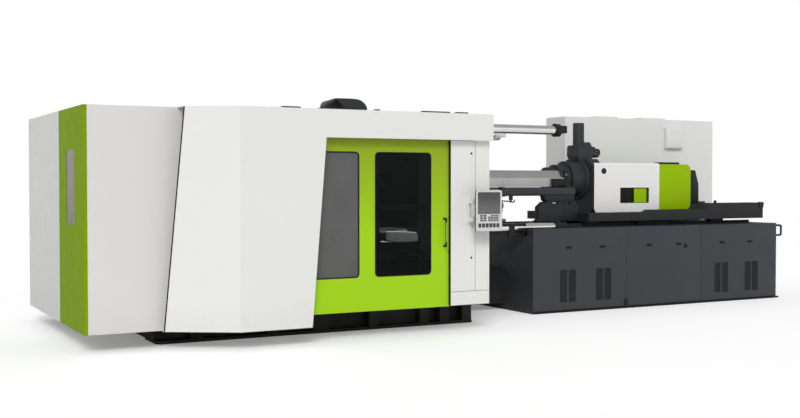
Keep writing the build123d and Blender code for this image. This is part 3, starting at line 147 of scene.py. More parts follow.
def bump_stack(tree, shader, layers):
    """Bump from several heights. Each layer is a value, a strength and a distance in metres."""
    normal = None
    for value, strength, distance in layers:
        bump = tree.nodes.new("ShaderNodeBump")
        bump.inputs["Strength"].default_value = strength
        bump.inputs["Distance"].default_value = distance
        tree.links.new(value, bump.inputs["Height"])
        if normal is not None:
            tree.links.new(normal, bump.inputs["Normal"])
        normal = bump.outputs[0]
    tree.links.new(normal, shader.inputs["Normal"])


def height_of(tree, coords):
    split = tree.nodes.new("ShaderNodeSeparateXYZ")
    tree.links.new(coords, split.inputs[0])
    return split.outputs[2]


def paint(name, colour, rough=0.38, vary=0.03, peel=0.05, dust=0.0, shade_by_height=None, gloss=0.3):
    """Sprayed paint on sheet metal: faint patches, orange peel, slight waves and dust near the floor."""
    mat, tree, shader, coords = start_material(name)
    patches = noise_node(tree, coords, 0.8, 4)
    base = mix_colours(tree, patches, shade(colour, 1 - vary), shade(colour, 1 + vary))
    # Optional painted shade by height: the colour blends to a shaded colour between two heights.
    if shade_by_height:
        low, high, shaded_top_colour = shade_by_height
        factor = map_range(tree, height_of(tree, coords), low, high, 0, 1, smooth=True)
        base = mix_colours(tree, factor, base, shaded_top_colour)
    smudges = noise_node(tree, coords, 6.5, 6, 0.6)
    faint = map_range(tree, smudges, 0.35, 0.75, 0, 0.05)
    base = mix_colours(tree, faint, base, shade(colour, 0.72))
    if dust:
        reach = map_range(tree, height_of(tree, coords), 0.02, 0.7, dust, 0.0, smooth=True)
        specks = noise_node(tree, coords, 22, 5)
        amount = math_node(tree, "MULTIPLY", reach, specks)
        base = mix_colours(tree, amount, base, srgb(122, 118, 110))
    tree.links.new(base, shader.inputs["Base Color"])
    tree.links.new(map_range(tree, smudges, 0.3, 0.7, rough - 0.06, rough + 0.08), shader.inputs["Roughness"])
    shader.inputs["Specular IOR Level"].default_value = gloss
    fine = noise_node(tree, coords, 420, 2)
    slow = noise_node(tree, coords, 1.4, 2)
    bump_stack(tree, shader, [(slow, 0.12, 0.012), (fine, peel, 0.0006)])
    return mat


def casting(name, colour, rough=0.55, grain=0.5, wear=0.08):
    """A painted casting: coarse skin, uneven gloss and rubbed lighter patches."""
    mat, tree, shader, coords = start_material(name)
    shader.inputs["Specular IOR Level"].default_value = 0.25
    patches = noise_node(tree, coords, 2.2, 6, 0.6)
    base = mix_colours(tree, patches, shade(colour, 0.8), shade(colour, 1.25))
    rubbed = map_range(tree, noise_node(tree, coords, 9, 8, 0.65), 0.62, 0.78, 0, wear)
    base = mix_colours(tree, rubbed, base, srgb(128, 128, 126))
    tree.links.new(base, shader.inputs["Base Color"])
    tree.links.new(map_range(tree, patches, 0.3, 0.7, rough - 0.1, rough + 0.12), shader.inputs["Roughness"])
    skin = noise_node(tree, coords, 120, 6, 0.7)
    lumps = noise_node(tree, coords, 11, 3)
    bump_stack(tree, shader, [(lumps, 0.25, 0.006), (skin, grain, 0.0012)])
    return mat


def steel(name, colour, rough=0.3, brush=(1, 1, 1), streak=0.18, metallic=1.0):
    """Machined steel with fine streaks along one axis and faint oil marks."""
    mat, tree, shader, coords = start_material(name)
    shader.inputs["Metallic"].default_value = metallic
    streaks = noise_node(tree, coords, 60, 4, 0.6, stretch=brush)
    marks = noise_node(tree, coords, 3.5, 5)
    base = mix_colours(tree, streaks, shade(colour, 1 - streak), shade(colour, 1 + streak))
    base = mix_colours(tree, map_range(tree, marks, 0.45, 0.8, 0, 0.35), base, shade(colour, 0.62))
    tree.links.new(base, shader.inputs["Base Color"])
    tree.links.new(map_range(tree, streaks, 0.3, 0.7, rough - 0.06, rough + 0.1), shader.inputs["Roughness"])
    bump_stack(tree, shader, [(streaks, 0.12, 0.0005), (marks, 0.05, 0.002)])
    return mat


def plastic(name, colour, rough=0.5, grain=0.2):
    """Moulded plastic or rubber with a fine grain."""
    mat, tree, shader, coords = start_material(name)
    shader.inputs["Specular IOR Level"].default_value = 0.3
    patches = noise_node(tree, coords, 5, 4)
    base = mix_colours(tree, patches, shade(colour, 0.94), shade(colour, 1.06))
    tree.links.new(base, shader.inputs["Base Color"])
    tree.links.new(map_range(tree, patches, 0.3, 0.7, rough - 0.05, rough + 0.05), shader.inputs["Roughness"])
    grains = noise_node(tree, coords, 900, 3)
    bump_stack(tree, shader, [(grains, grain, 0.0003)])
    return mat


def painted_glow(mat, strength):
    """A little light of its own, which is painted light: an emission that makes a thing inside the machine
    glow though it is no lamp.
    """
    shader = next(node for node in mat.node_tree.nodes if node.type == "BSDF_PRINCIPLED")
    shader.inputs["Emission Color"].default_value = (0.9, 1.0, 1.0, 1)
    shader.inputs["Emission Strength"].default_value = strength
    return mat


def tinted_sheet(name, colour, solid, rough=0.12, shade_by_height=None, gloss=0.3):
    """A tinted window sheet: partly clear, with faint wipe marks."""
    mat, tree, shader, coords = start_material(name)
    shader.inputs["Specular IOR Level"].default_value = gloss
    wipes = noise_node(tree, coords, 2.6, 5, 0.6, stretch=(1, 1, 0.5))
    base = mix_colours(tree, wipes, shade(colour, 0.85), shade(colour, 1.15))
    # Optional painted shade by height: the tint blends to another colour between two heights.
    if shade_by_height:
        low, high, other = shade_by_height
        factor = map_range(tree, height_of(tree, coords), low, high, 0, 1, smooth=True)
        base = mix_colours(tree, factor, base, other)
    tree.links.new(base, shader.inputs["Base Color"])
    tree.links.new(map_range(tree, wipes, 0.35, 0.7, rough - 0.04, rough + 0.06), shader.inputs["Roughness"])
    tree.links.new(map_range(tree, wipes, 0.3, 0.7, solid - 0.03, solid + 0.03), shader.inputs["Alpha"])
    bump_stack(tree, shader, [(wipes, 0.05, 0.002)])
    return mat


WHITE = srgb(226, 226, 223)
GREEN = srgb(158, 206, 4)

LOOKS = {
    "white": paint("paint_white", WHITE, rough=0.36, vary=0.012, dust=0.18),
    # A slightly darker copy of the enclosure white for the front left panel: painted shade.
    "left_white_shaded": paint("paint_white_left_shaded", srgb(216, 215, 212), rough=0.36, vary=0.012, dust=0.18),
    # A darker copy of the white for the end wall's side face: painted shade.
    "end_white_shaded": paint("paint_white_end_shaded", srgb(207, 207, 205), rough=0.4, vary=0.012, dust=0.18),
    "cabinet": paint("paint_cabinet", srgb(222, 222, 220), rough=0.42, vary=0.015),
    "cover": paint("paint_cover", srgb(231, 230, 228), rough=0.34, vary=0.01),
    # A darker, duller copy of the door green for the corner panel's end face: painted shade.
    "green": paint("paint_green_shaded_end", srgb(124, 155, 0), rough=0.5, vary=0.03, dust=0.05, gloss=0.02),
    # The door's green blends to a darker green towards its top: painted shade under the canopy's overhang.
    "door": paint("paint_door", GREEN, rough=0.36, vary=0.02, shade_by_height=(1.1, 2.66, srgb(140, 164, 18))),
    "drive": paint("paint_drive", srgb(146, 183, 0), rough=0.4, vary=0.02, gloss=0.1),
    "rear": paint("paint_rear", srgb(222, 222, 219), rough=0.4, vary=0.015, dust=0.18),
    "bed": paint("paint_bed", srgb(52, 55, 58), rough=0.5, vary=0.05, peel=0.12, dust=0.08, gloss=0.2),
    "bed_cover": paint(
        "paint_bed_cover", srgb(58, 62, 66), rough=0.48, vary=0.04, peel=0.1, dust=0.1, gloss=0.2
    ),
    "frame": paint("paint_frame", srgb(31, 31, 32), rough=0.55, vary=0.12, peel=0.15, dust=0.12, gloss=0.2),
    "hood": paint("paint_hood", srgb(46, 47, 49), rough=0.42, vary=0.08, peel=0.1),
    "casting": casting("casting_grey", srgb(48, 50, 52)),
    "dark_casting": casting("casting_dark", srgb(37, 38, 40), grain=0.4),
    "cylinder": casting("cylinder_grey", srgb(52, 54, 57), rough=0.45, grain=0.2, wear=0.04),
    "bar": steel("bar_steel", srgb(240, 240, 238), rough=0.14, brush=(0.03, 1, 1), streak=0.06),
    "rod": steel("rod_steel", srgb(200, 200, 198), rough=0.14, brush=(0.03, 1, 1), streak=0.06),
    "steel": steel("plain_steel", srgb(150, 150, 148), rough=0.34, brush=(1, 1, 0.1)),
    "guard": steel(
        "guard_sheet", srgb(188, 188, 186), rough=0.4, brush=(0.05, 1, 1), streak=0.08, metallic=0.75
    ),
    "barrel": steel("barrel_steel", srgb(96, 92, 88), rough=0.42, brush=(1, 0.4, 0.4), streak=0.2),
    "black": plastic("plastic_black", srgb(24, 24, 25)),
    "rubber": plastic("rubber_black", srgb(20, 20, 21), rough=0.7, grain=0.4),
    "panel": plastic("panel_grey", srgb(206, 206, 205), rough=0.42),
    "key": plastic("key_grey", srgb(88, 90, 92), rough=0.4),
    # The screen glass blends from a lighter grey at its bottom to a darker grey at its top: painted shade and
    # reflection on the glass.
    "screen": tinted_sheet(
        "screen_glass", srgb(106, 107, 106), 1.0, rough=0.18, shade_by_height=(1.60, 1.84, srgb(74, 75, 75))
    ),
    "pane_clear": tinted_sheet("pane_clear", srgb(18, 21, 21), 0.42, rough=0.1, gloss=0.07),
    "pane_grey": tinted_sheet("pane_grey", srgb(92, 93, 92), 0.93, rough=0.2),
    "pane_corner": tinted_sheet("pane_corner", srgb(44, 52, 40), 0.96, rough=0.2),
    "seam": plastic("seam_dark", srgb(112, 112, 110), rough=0.6),
    "grip": paint("grip_green", srgb(150, 186, 66), rough=0.3, vary=0.04),
    "brass": steel("lock_brass", srgb(176, 142, 84), rough=0.3, brush=(1, 1, 1)),
    # The tray and its rim glow with their own light: painted light that brightens them behind the tinted
    # pane.
    "tray": painted_glow(paint("tray_sheet_painted_glow", srgb(150, 151, 151), rough=0.4, vary=0.02), 0.14),
    "tray_rim_painted_glow": painted_glow(paint("tray_rim_painted_glow", srgb(244, 244, 244), rough=0.3, vary=0.01), 0.8),
    "key_dark": plastic("key_dark", srgb(62, 64, 66), rough=0.42),
    "dark_steel": steel("blacked_steel", srgb(58, 58, 58), rough=0.42, brush=(1, 1, 1), metallic=0.7),
    # Near-black lining put in openings and recesses: painted shade.
    "inside": plastic("shadow_lining", srgb(12, 12, 13), rough=0.8),
    "drive_dark": plastic("drive_seam", srgb(84, 104, 8), rough=0.6),
    "vent": paint("paint_vent", srgb(42, 45, 49), rough=0.6, vary=0.06, gloss=0.15),
    "deck": paint("paint_deck", srgb(50, 52, 55), rough=0.45, vary=0.04, gloss=0.2),
}

NODE_LOOKS = {
    "left_white_shaded": ("front_left_panel",),
    "white": ("operator_bracket", "front_canopy", "roof_panel", "column_cover"),
    "end_white_shaded": ("end_wall",),
    "rear": ("rear_covers", "rear_gate"),
    "green": ("corner_panel",),
    "door": ("front_gate",),
    "drive": ("drive_cover",),
    "cover": ("injection_cover",),
    "cabinet": ("control_cabinet", "cabinet_door_left", "cabinet_door_right", "junction_box"),
    "bed": ("injection_bed",),
    "bed_cover": ("bed_cover_left", "bed_cover_middle", "bed_cover_right", "bed_rear_covers"),
    "frame": ("clamp_bed", "enclosure_frame", "gate_rails"),
    "hood": ("platen_hood",),
    "casting": ("fixed_platen", "moving_platen", "injection_plate", "thrust_housing"),
    "dark_casting": ("sled", "carriage_block", "screw_motor", "sled_rails", "traverse_cylinders"),
    "cylinder": ("clamp_cylinders", "ejector_cylinder", "nozzle_cylinders", "injection_cylinders"),
    "bar": ("tie_bars",),
    "rod": ("nozzle_cylinder_rods",),
    "dark_steel": ("traverse_rods",),
    "steel": ("nut_guides", "tie_bar_nuts", "ejector_plate", "nut_halves_front", "nut_halves_rear", "screw"),
    "guard": ("heater_guard",),
    "barrel": ("barrel", "nozzle"),
    "black": ("tie_bar_collars", "bed_vents", "front_gate_handle", "lifting_handle", "terminal_box"),
    "panel": ("operator_panel",),
    "screen": ("operator_screen",),
    "pane_clear": ("front_gate_windows",),
    "pane_corner": ("corner_window",),
}
for look, names in NODE_LOOKS.items():
    for name in names:
        node = frame["nodes"][name]
        if not node.material_slots:
            node.data.materials.append(LOOKS[look])
        for material_slot in node.material_slots:
            material_slot.material = LOOKS[look]


# Pieces

SHARP = math.radians(30)


def place(axis, along, p, q):
    """A point at a place along an axis, with its two other coordinates in XYZ order."""
    return {"X": (along, p, q), "Y": (p, along, q), "Z": (p, q, along)}[axis]


def bevel_edges(part, edges, offset, segments):
    bmesh.ops.bevel(
        part, geom=edges, offset=offset, segments=segments, profile=0.5, affect="EDGES", clamp_overlap=True
    )


class Piece:
    """Collects bevelled solids, in millimetres, into one object that rides on a body."""

    def __init__(self, name, body, slot):
        self.name = name
        self.body = body
        self.slot = slot
        self.bm = bmesh.new()
        self.looks = []

    def add(self, part, look, bevel=0, segments=2):
        if bevel:
            part.normal_update()
            sharp = [e for e in part.edges if len(e.link_faces) == 2 and e.calc_face_angle(0) > SHARP]
            bevel_edges(part, sharp, bevel, segments)
        if look not in self.looks:
            self.looks.append(look)
        index = self.looks.index(look)
        for face in part.faces:
            face.material_index = index
            face.smooth = True
        mesh = bpy.data.meshes.new("part")
        part.to_mesh(mesh)
        part.free()
        self.bm.from_mesh(mesh)
        bpy.data.meshes.remove(mesh)

    def box(self, x0, x1, y0, y1, z0, z1, look, bevel=3, segments=2):
        part = bmesh.new()
        bmesh.ops.create_cube(part, size=1)
        part.transform(Matrix.Diagonal((abs(x1 - x0), abs(y1 - y0), abs(z1 - z0), 1)))
        part.transform(Matrix.Translation(((x0 + x1) / 2, (y0 + y1) / 2, (z0 + z1) / 2)))
        self.add(part, look, bevel, segments)

    def prism(self, points, axis, a, b, look, bevel=3, segments=2):
        """An outline drawn out along an axis. The points leave that axis out, in XYZ order."""
        part = bmesh.new()
        near, far = [[part.verts.new(place(axis, end, p, q)) for p, q in points] for end in (a, b)]
        part.faces.new(near)
        part.faces.new(far[::-1])
        count = len(points)
        for i in range(count):
            j = (i + 1) % count
            part.faces.new((near[j], near[i], far[i], far[j]))
        bmesh.ops.recalc_face_normals(part, faces=part.faces)
        self.add(part, look, bevel, segments)

    def lathe(self, axis, centre, profile, look, sides=32):
        """A turned shape. The profile pairs a place along the axis with a radius."""
        turns = [2 * math.pi * i / sides for i in range(sides)]
        rings = []
        for along, radius in profile:
            circle = [(centre[0] + radius * math.cos(t), centre[1] + radius * math.sin(t)) for t in turns]
            rings.append([place(axis, along, p, q) for p, q in circle])
        self.loft(rings, look)

    def loft(self, rings, look, bevel=0):
        """A skin over closed rings of points, with both ends capped."""
        part = bmesh.new()
        sections = [[part.verts.new(at) for at in ring] for ring in rings]
        for low, high in zip(sections, sections[1:]):
            for i in range(len(low)):
                j = (i + 1) % len(low)
                part.faces.new((low[i], low[j], high[j], high[i]))
        part.faces.new(sections[0][::-1])
        part.faces.new(sections[-1])
        bmesh.ops.recalc_face_normals(part, faces=part.faces)
        self.add(part, look, bevel)

    def bolt(self, axis, centre, face, way, look, radius=12, height=10):
        """A hexagon bolt head on a washer. way is 1 or -1, the way it stands out of the face."""
        washer = [(face - way, radius * 1.35), (face + way * 3, radius * 1.35)]
        self.lathe(axis, centre, washer, look, 20)
        top = face + way * height
        head = [(face, radius), (top - way * 2, radius), (top, radius * 0.85)]
        self.lathe(axis, centre, head, look, 6)

    def done(self, smooth_angle=38):
        mesh = bpy.data.meshes.new(self.name)
        self.bm.transform(Matrix.Scale(MM, 4))
        bmesh.ops.remove_doubles(self.bm, verts=self.bm.verts, dist=1e-6)
        self.bm.to_mesh(mesh)
        self.bm.free()
        for look in self.looks:
            mesh.materials.append(LOOKS[look])
        mesh.set_sharp_from_angle(angle=math.radians(smooth_angle))
        obj = bpy.data.objects.new(self.name, mesh)
        bpy.context.scene.collection.objects.link(obj)
        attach(obj, self.body)
        return obj


def tube(name, body, look, points, radius):
    """A round bar along a smooth run of points, in millimetres."""
    curve = bpy.data.curves.new(name, "CURVE")
    curve.dimensions = "3D"
    curve.bevel_depth = radius * MM
    curve.bevel_resolution = 4
    curve.use_fill_caps = True
    spline = curve.splines.new("NURBS")
    spline.points.add(len(points) - 1)
    for point, at in zip(spline.points, points):
        point.co = (at[0] * MM, at[1] * MM, at[2] * MM, 1)
    spline.order_u = 3
    spline.use_endpoint_u = True
    obj = bpy.data.objects.new(name, curve)
    bpy.context.scene.collection.objects.link(obj)
    evaluated = obj.evaluated_get(bpy.context.evaluated_depsgraph_get())
    mesh = bpy.data.meshes.new_from_object(evaluated)
    bpy.data.objects.remove(obj)
    mesh.name = name
    mesh.materials.clear()
    mesh.materials.append(LOOKS[look])
    for polygon in mesh.polygons:
        polygon.use_smooth = True
    result = bpy.data.objects.new(name, mesh)
    bpy.context.scene.collection.objects.link(result)
    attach(result, body)


# Shapes used by several pieces

def rounded(x0, x1, z0, z1, radius, steps=6):
    """A rectangle with round corners, as points in order."""
    points = []
    corners = ((x1, z1, 0), (x0, z1, 90), (x0, z0, 180), (x1, z0, 270))
    for x, z, start in corners:
        cx = x - radius if x == x1 else x + radius
        cz = z - radius if z == z1 else z + radius
        for i in range(steps + 1):
            t = math.radians(start + 90 * i / steps)
            points.append((cx + radius * math.cos(t), cz + radius * math.sin(t)))
    return points


def bolt_circle(radius, count):
    """Places for bolts around a centre, half a step round from the first axis."""
    turns = [2 * math.pi * (i + 0.5) / count for i in range(count)]
    return [(radius * math.cos(t), radius * math.sin(t)) for t in turns]


def ring_prism(piece, outer, inner, axis, a, b, look, bevel):
    """A frame between two outlines with the same number of points, drawn out along an axis."""
    part = bmesh.new()
    outer_a, outer_b, inner_a, inner_b = [
        [part.verts.new(place(axis, end, p, q)) for p, q in outline]
        for outline in (outer, inner) for end in (a, b)
    ]
    count = len(outer)
    for i in range(count):
        j = (i + 1) % count
        part.faces.new((outer_a[i], outer_a[j], outer_b[j], outer_b[i]))
        part.faces.new((inner_a[j], inner_a[i], inner_b[i], inner_b[j]))
        part.faces.new((outer_a[j], outer_a[i], inner_a[i], inner_a[j]))
        part.faces.new((outer_b[i], outer_b[j], inner_b[j], inner_b[i]))
    bmesh.ops.recalc_face_normals(part, faces=part.faces)
    piece.add(part, look, bevel)


def open_shell(piece, outline, y0, y1, thick, soft_edge, look):
    """A sheet cover with soft edges, drawn out across Y, open below and at its left end."""
    part = bmesh.new()
    rings = [[part.verts.new((x, y, z)) for x, z in outline] for y in (y0, y1)]
    for ring in rings:
        part.faces.new(ring)
    for i in range(len(outline)):
        j = (i + 1) % len(outline)
        part.faces.new((rings[0][i], rings[0][j], rings[1][j], rings[1][i]))
    bmesh.ops.recalc_face_normals(part, faces=part.faces)
    ends = [f for f in part.faces if abs(f.normal.y) > 0.9]
    rims = [edge for f in ends for edge in f.edges]
    bevel_edges(part, rims, soft_edge, 4)
    left = min(x for x, z in outline) + thick
    low = min(z for x, z in outline) + thick
    gone = [f for f in part.faces if f.normal.x < -0.9 and f.calc_center_median().x < left]
    gone += [f for f in part.faces if f.normal.z < -0.9 and f.calc_center_median().z < low]
    bmesh.ops.delete(part, geom=gone, context="FACES")
    bmesh.ops.solidify(part, geom=part.faces[:], thickness=thick)
    piece.add(part, look)


# Front gate

def gate():
    low, high = 786, 2399
    for name, x0, x1, look in (
        ("gate_pane_left", -2290, -1520, "pane_grey"), ("gate_pane_right", -1295, -470, "pane_clear")
    ):
        pane = Piece(name, "gate_front", "window_pane")
        pane.prism(rounded(x0 - 9, x1 + 9, low, high, 60), "Y", PANE_FRONT_Y, PANE_BACK_Y, look, bevel=1)
        obj = pane.done()
        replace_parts(obj, "front_gate_windows")
        trim = Piece(name.replace("pane", "gasket"), "gate_front", "trim_black")
        outer = rounded(x0 - 3, x1 + 3, low + 6, high - 6, 58)
        inner = rounded(x0 + 11, x1 - 11, low + 20, high - 20, 46)
        ring_prism(trim, outer, inner, "Y", GATE_FACE_Y - 3.5, GATE_FACE_Y + 10, "rubber", bevel=2)
        trim.done()
    handle_x, handle_y = -270, -2316
    for name, z0, z1, way in (("handle_foot_low", 1164, 1215, 1), ("handle_foot_high", 1523, 1472, -1)):
        foot = Piece(name, "gate_front", "trim_black")
        stub = [(GATE_FACE_Y, 17), (GATE_FACE_Y - 6, 17), (GATE_FACE_Y - 8, 13), (handle_y + 6, 12)]
        foot.lathe("Y", (handle_x, z0), stub, "black", 24)
        socket = [(z0 - way * 13, 9), (z0 - way * 9, 12.5), (z1 - way * 2, 12.5), (z1, 11)]
        foot.lathe("Z", (handle_x, handle_y), socket, "black", 24)
        foot.done()
    bar = Piece("handle_bar", "gate_front", "trim_black")
    bar.lathe("Z", (handle_x, handle_y), [(1205, 9.5), (1482, 9.5)], "grip", 24)
    # Thin black strips either side of the bar: painted shadow along its edges.
    for x in (handle_x - 11.5, handle_x + 8.5):
        bar.box(x, x + 3, handle_y - 4, handle_y + 4, 1214, 1473, "black", bevel=1)
    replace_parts(bar.done(), "front_gate_handle")
    lock = Piece("gate_lock", "gate_front", "plain_steel")
    lock.lathe("Y", (-212, 1094), [(-2263, 11), (-2267, 11), (-2269, 9)], "brass", 24)
    lock.box(-213.5, -210.5, -2269.8, -2268, 1088, 1100, "black", bevel=0.4)
    lock.done()
    # A black strip down the gate's right edge, filling the step between the gate face and the column face.
    edge = Piece("gate_edge_dark_strip", "base", "trim_black")
    edge.box(-206, -189, -2302, -2268, 374, 2557, "rubber", bevel=3)
    edge.done()


# Things that show through the right-hand window

def gate_interior():
    tray = Piece("mould_space_tray", "base", "guard_steel")
    crest = [(-478 + 440 * t, 1306 - 22 * t * t) for t in (i / 12 for i in range(13))]
    outline = crest + [
        (-24, 1272), (-10, 1246), (-8, 1200), (-8, 1166),
        (-120, 1160), (-250, 1158), (-380, 1164), (-478, 1196),
    ]
    tray.prism(outline, "Y", -1086, -996, "tray", bevel=4)
    rim = [(x, z + 7) for x, z in crest] + [(x, z - 3) for x, z in crest[::-1]]
    tray.prism(rim, "Y", -1092, -990, "tray_rim_painted_glow", bevel=1.5)
    tray.box(-30, -2, -1060, -1020, 1180, 1280, "black", bevel=3)
    # A near-black sheet under the tray: painted shade beneath it.
    tray.box(-640, -6, -1080, -1066, 984, 1162, "inside", bevel=2)
    tray.done()
    for name, z0, z1 in (("mould_guide_upper", 2305, 2350), ("mould_guide_lower", 1652, 1682)):
        rail = Piece(name, "base", "frame_black")
        rail.box(-326, 80, -1208, -1172, z0, z1, "black", bevel=4)
        rail.box(20, 74, -1180, -1102, z0 + 4, z1 - 4, "black", bevel=3)
        rail.done()
    slot_plate = Piece("mould_face_plate", "base", "frame_black")
    slot_plate.box(-7, 1, -250, -150, 1885, 2115, "black", bevel=3)
    slot_plate.done()


# Column beside the gate

def column():
    screws = Piece("column_screws", "base", "trim_black")
    head = ((1, 15), (-2, 15), (-4, 11), (-4, 6), (-2.5, 5))
    profile = [(COLUMN_FACE_Y + out, radius) for out, radius in head]
    for z in (2388, 1693, 997):
        screws.lathe("Y", (130, z), profile, "black", 24)
    screws.done()
    seams = Piece("column_seams", "base", "white_panel")
    y0, y1 = COLUMN_FACE_Y - 0.6, COLUMN_FACE_Y + 4
    seams.box(-180, 414, y0, y1, 549, 555, "seam", bevel=0.3)
    seams.box(188, 194, y0, y1, 555, 2552, "seam", bevel=0.3)
    seams.done()


# Operator panel

def operator():
    x0, x1, z0, z1 = 48, 456, 1358, 1901
    housing = Piece("operator_housing", "operator_station", "panel_grey")
    housing.prism(rounded(x0, x1, z0, z1, 16), "Y", -2536, -2518, "black", bevel=4)
    housing.prism(rounded(x0 + 46, x1 - 30, z0 + 36, z1 - 36, 16), "Y", -2519, -2465, "black", bevel=4)
    housing.box(85, 115, -2466, -2390, 1542, 1718, "panel", bevel=4)
    housing.box(76, 124, -2414, -2366, 1542, 1718, "panel", bevel=8)
    for i in range(8):
        housing.box(180 + i * 24, 192 + i * 24, -2466, -2461, 1440, 1640, "rubber", bevel=1)
    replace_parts(housing.done(), "operator_panel")
    bezel = Piece("operator_bezel", "operator_station", "panel_grey")
    ring_prism(
        bezel, rounded(x0 + 2, x1 - 2, z0 + 2, z1 - 2, 18), rounded(x0 + 28, x1 - 28, z0 + 26, z1 - 28, 8),
        "Y", -2550, -2534, "panel", bevel=3,
    )
    bezel.prism(rounded(x0 + 26, x1 - 26, z0 + 24, 1588, 8), "Y", -2544, -2533, "panel", bevel=2)
    bezel.done()
    screen = Piece("operator_glass", "operator_station", "screen")
    screen.prism(rounded(x0 + 27, x1 - 27, 1584, z1 - 27, 6), "Y", -2545, -2536, "screen", bevel=1.5)
    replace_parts(screen.done(), "operator_screen")
    keys = Piece("operator_keys", "operator_station", "trim_black")
    back = -2543
    for i in range(3):
        for x in (112, 166):
            z = 1490 + i * 31
            keys.prism(rounded(x, x + 44, z, z + 23, 5), "Y", back - 5.5, back, "key", bevel=1.6)
    for i in range(4):
        for k in range(4):
            x, z = 240 + k * 42, 1488 + i * 23
            if (i, k) != (3, 0):
                keys.prism(rounded(x, x + 34, z, z + 17, 4), "Y", back - 5, back, "key", bevel=1.4)
    for k in range(6):
        x = 88 + k * 56
        keys.prism(rounded(x, x + 44, 1408, 1462, 7), "Y", back - 6, back, "key_dark", bevel=2)
    keys.done()
    # A black strip on the panel's right side.
    grip = Piece("operator_side_dark_strip", "operator_station", "trim_black")
    grip.box(454, 466, -2546, -2520, 1600, 1740, "black", bevel=4)
    grip.done()
    hook = ((462, 1755), (540, 1752), (600, 1748), (655, 1736), (684, 1740), (688, 1768))
    points = [(x, -2500, z) for x, z in hook]
    tube("operator_hook", "operator_station", "barrel", points, 9)
    clip = Piece("operator_hook_clip", "operator_station", "trim_black")
    clip.box(604, 650, -2518, -2482, 1762, 1826, "black", bevel=5)
    clip.box(618, 636, -2511, -2489, 1732, 1764, "black", bevel=3)
    clip.done()


# Slanted edge of the front canopy, and the roof

def canopy_edge():
    # A black strip along the canopy's slanted edge: the sheet's edge, with painted shadow for the gap behind
    # it.
    edge = Piece("canopy_edge_shadow_strip", "base", "trim_black")
    width, half_depth = 16, 3
    run, drop = 0.852, 0.524
    ax, ay = width * run, -width * drop
    ox, oy = -half_depth * drop, -half_depth * run
    rings = [
        [
            (x - ox, y - oy, z), (x + ax - ox, y + ay - oy, z),
            (x + ax + ox, y + ay + oy, z), (x + ox, y + oy, z),
        ]
        for x, y, z in ((-3944, -1912, 222), (-3728, -2045, 2908))
    ]
    edge.loft(rings, "rubber", bevel=1)
    edge.done()


def roof():
    bits = Piece("roof_plates", "base", "trim_black")
    for x0, x1 in ((-2472, -2216), (-1175, -1102), (-474, -40), (54, 245)):
        bits.box(x0, x1, -2060, -1960, 2908, 2926, "frame", bevel=3)
        bits.box(x0 + 6, x1 - 6, -2050, -1970, 2924, 2952, "frame", bevel=8, segments=3)
    bits.done()
    hood = Piece("platen_hood_shell", "clamp_carriage", "hood_black")
    low, high = 3010, 3165
    far_left = -1120
    rings = []
    for z, x0, x1, y0, y1 in (
        (low, -1180, -774, -1050, -110),
        (low + 40, -1196, -776, -1050, -112),
        (low + 90, -1246, -808, -1046, -130),
        (high - 26, -1296, -858, -1040, -170),
        (high - 8, -1288, -900, -1024, -210),
        (high, -1240, -950, -985, -260),
    ):
        ring = []
        for x, y in rounded(x0, x1, y0, y1, 62, 8):
            lean = (x1 - x) / (x1 - x0) * (y - y0) / (y1 - y0)
            ring.append((x + lean * (far_left - x0), y, z))
        rings.append(ring)
    hood.loft(rings, "hood")
    hood.box(-1500, -800, -1040, 1040, 3009, 3022, "hood", bevel=4)
    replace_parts(hood.done(50), "platen_hood")


# Injection head, covers and sled

def turned(piece, steps, look):
    """A stepped turned shape on the machine axis, with a small cut at the start of each step."""
    profile = []
    for x0, x1, radius in steps:
        cut = min(6, (x1 - x0) / 4)
        profile += [(x0, radius - cut), (x0 + cut, radius), (x1, radius)]
    piece.lathe("X", (0, AXIS_Z), profile, look, 72)


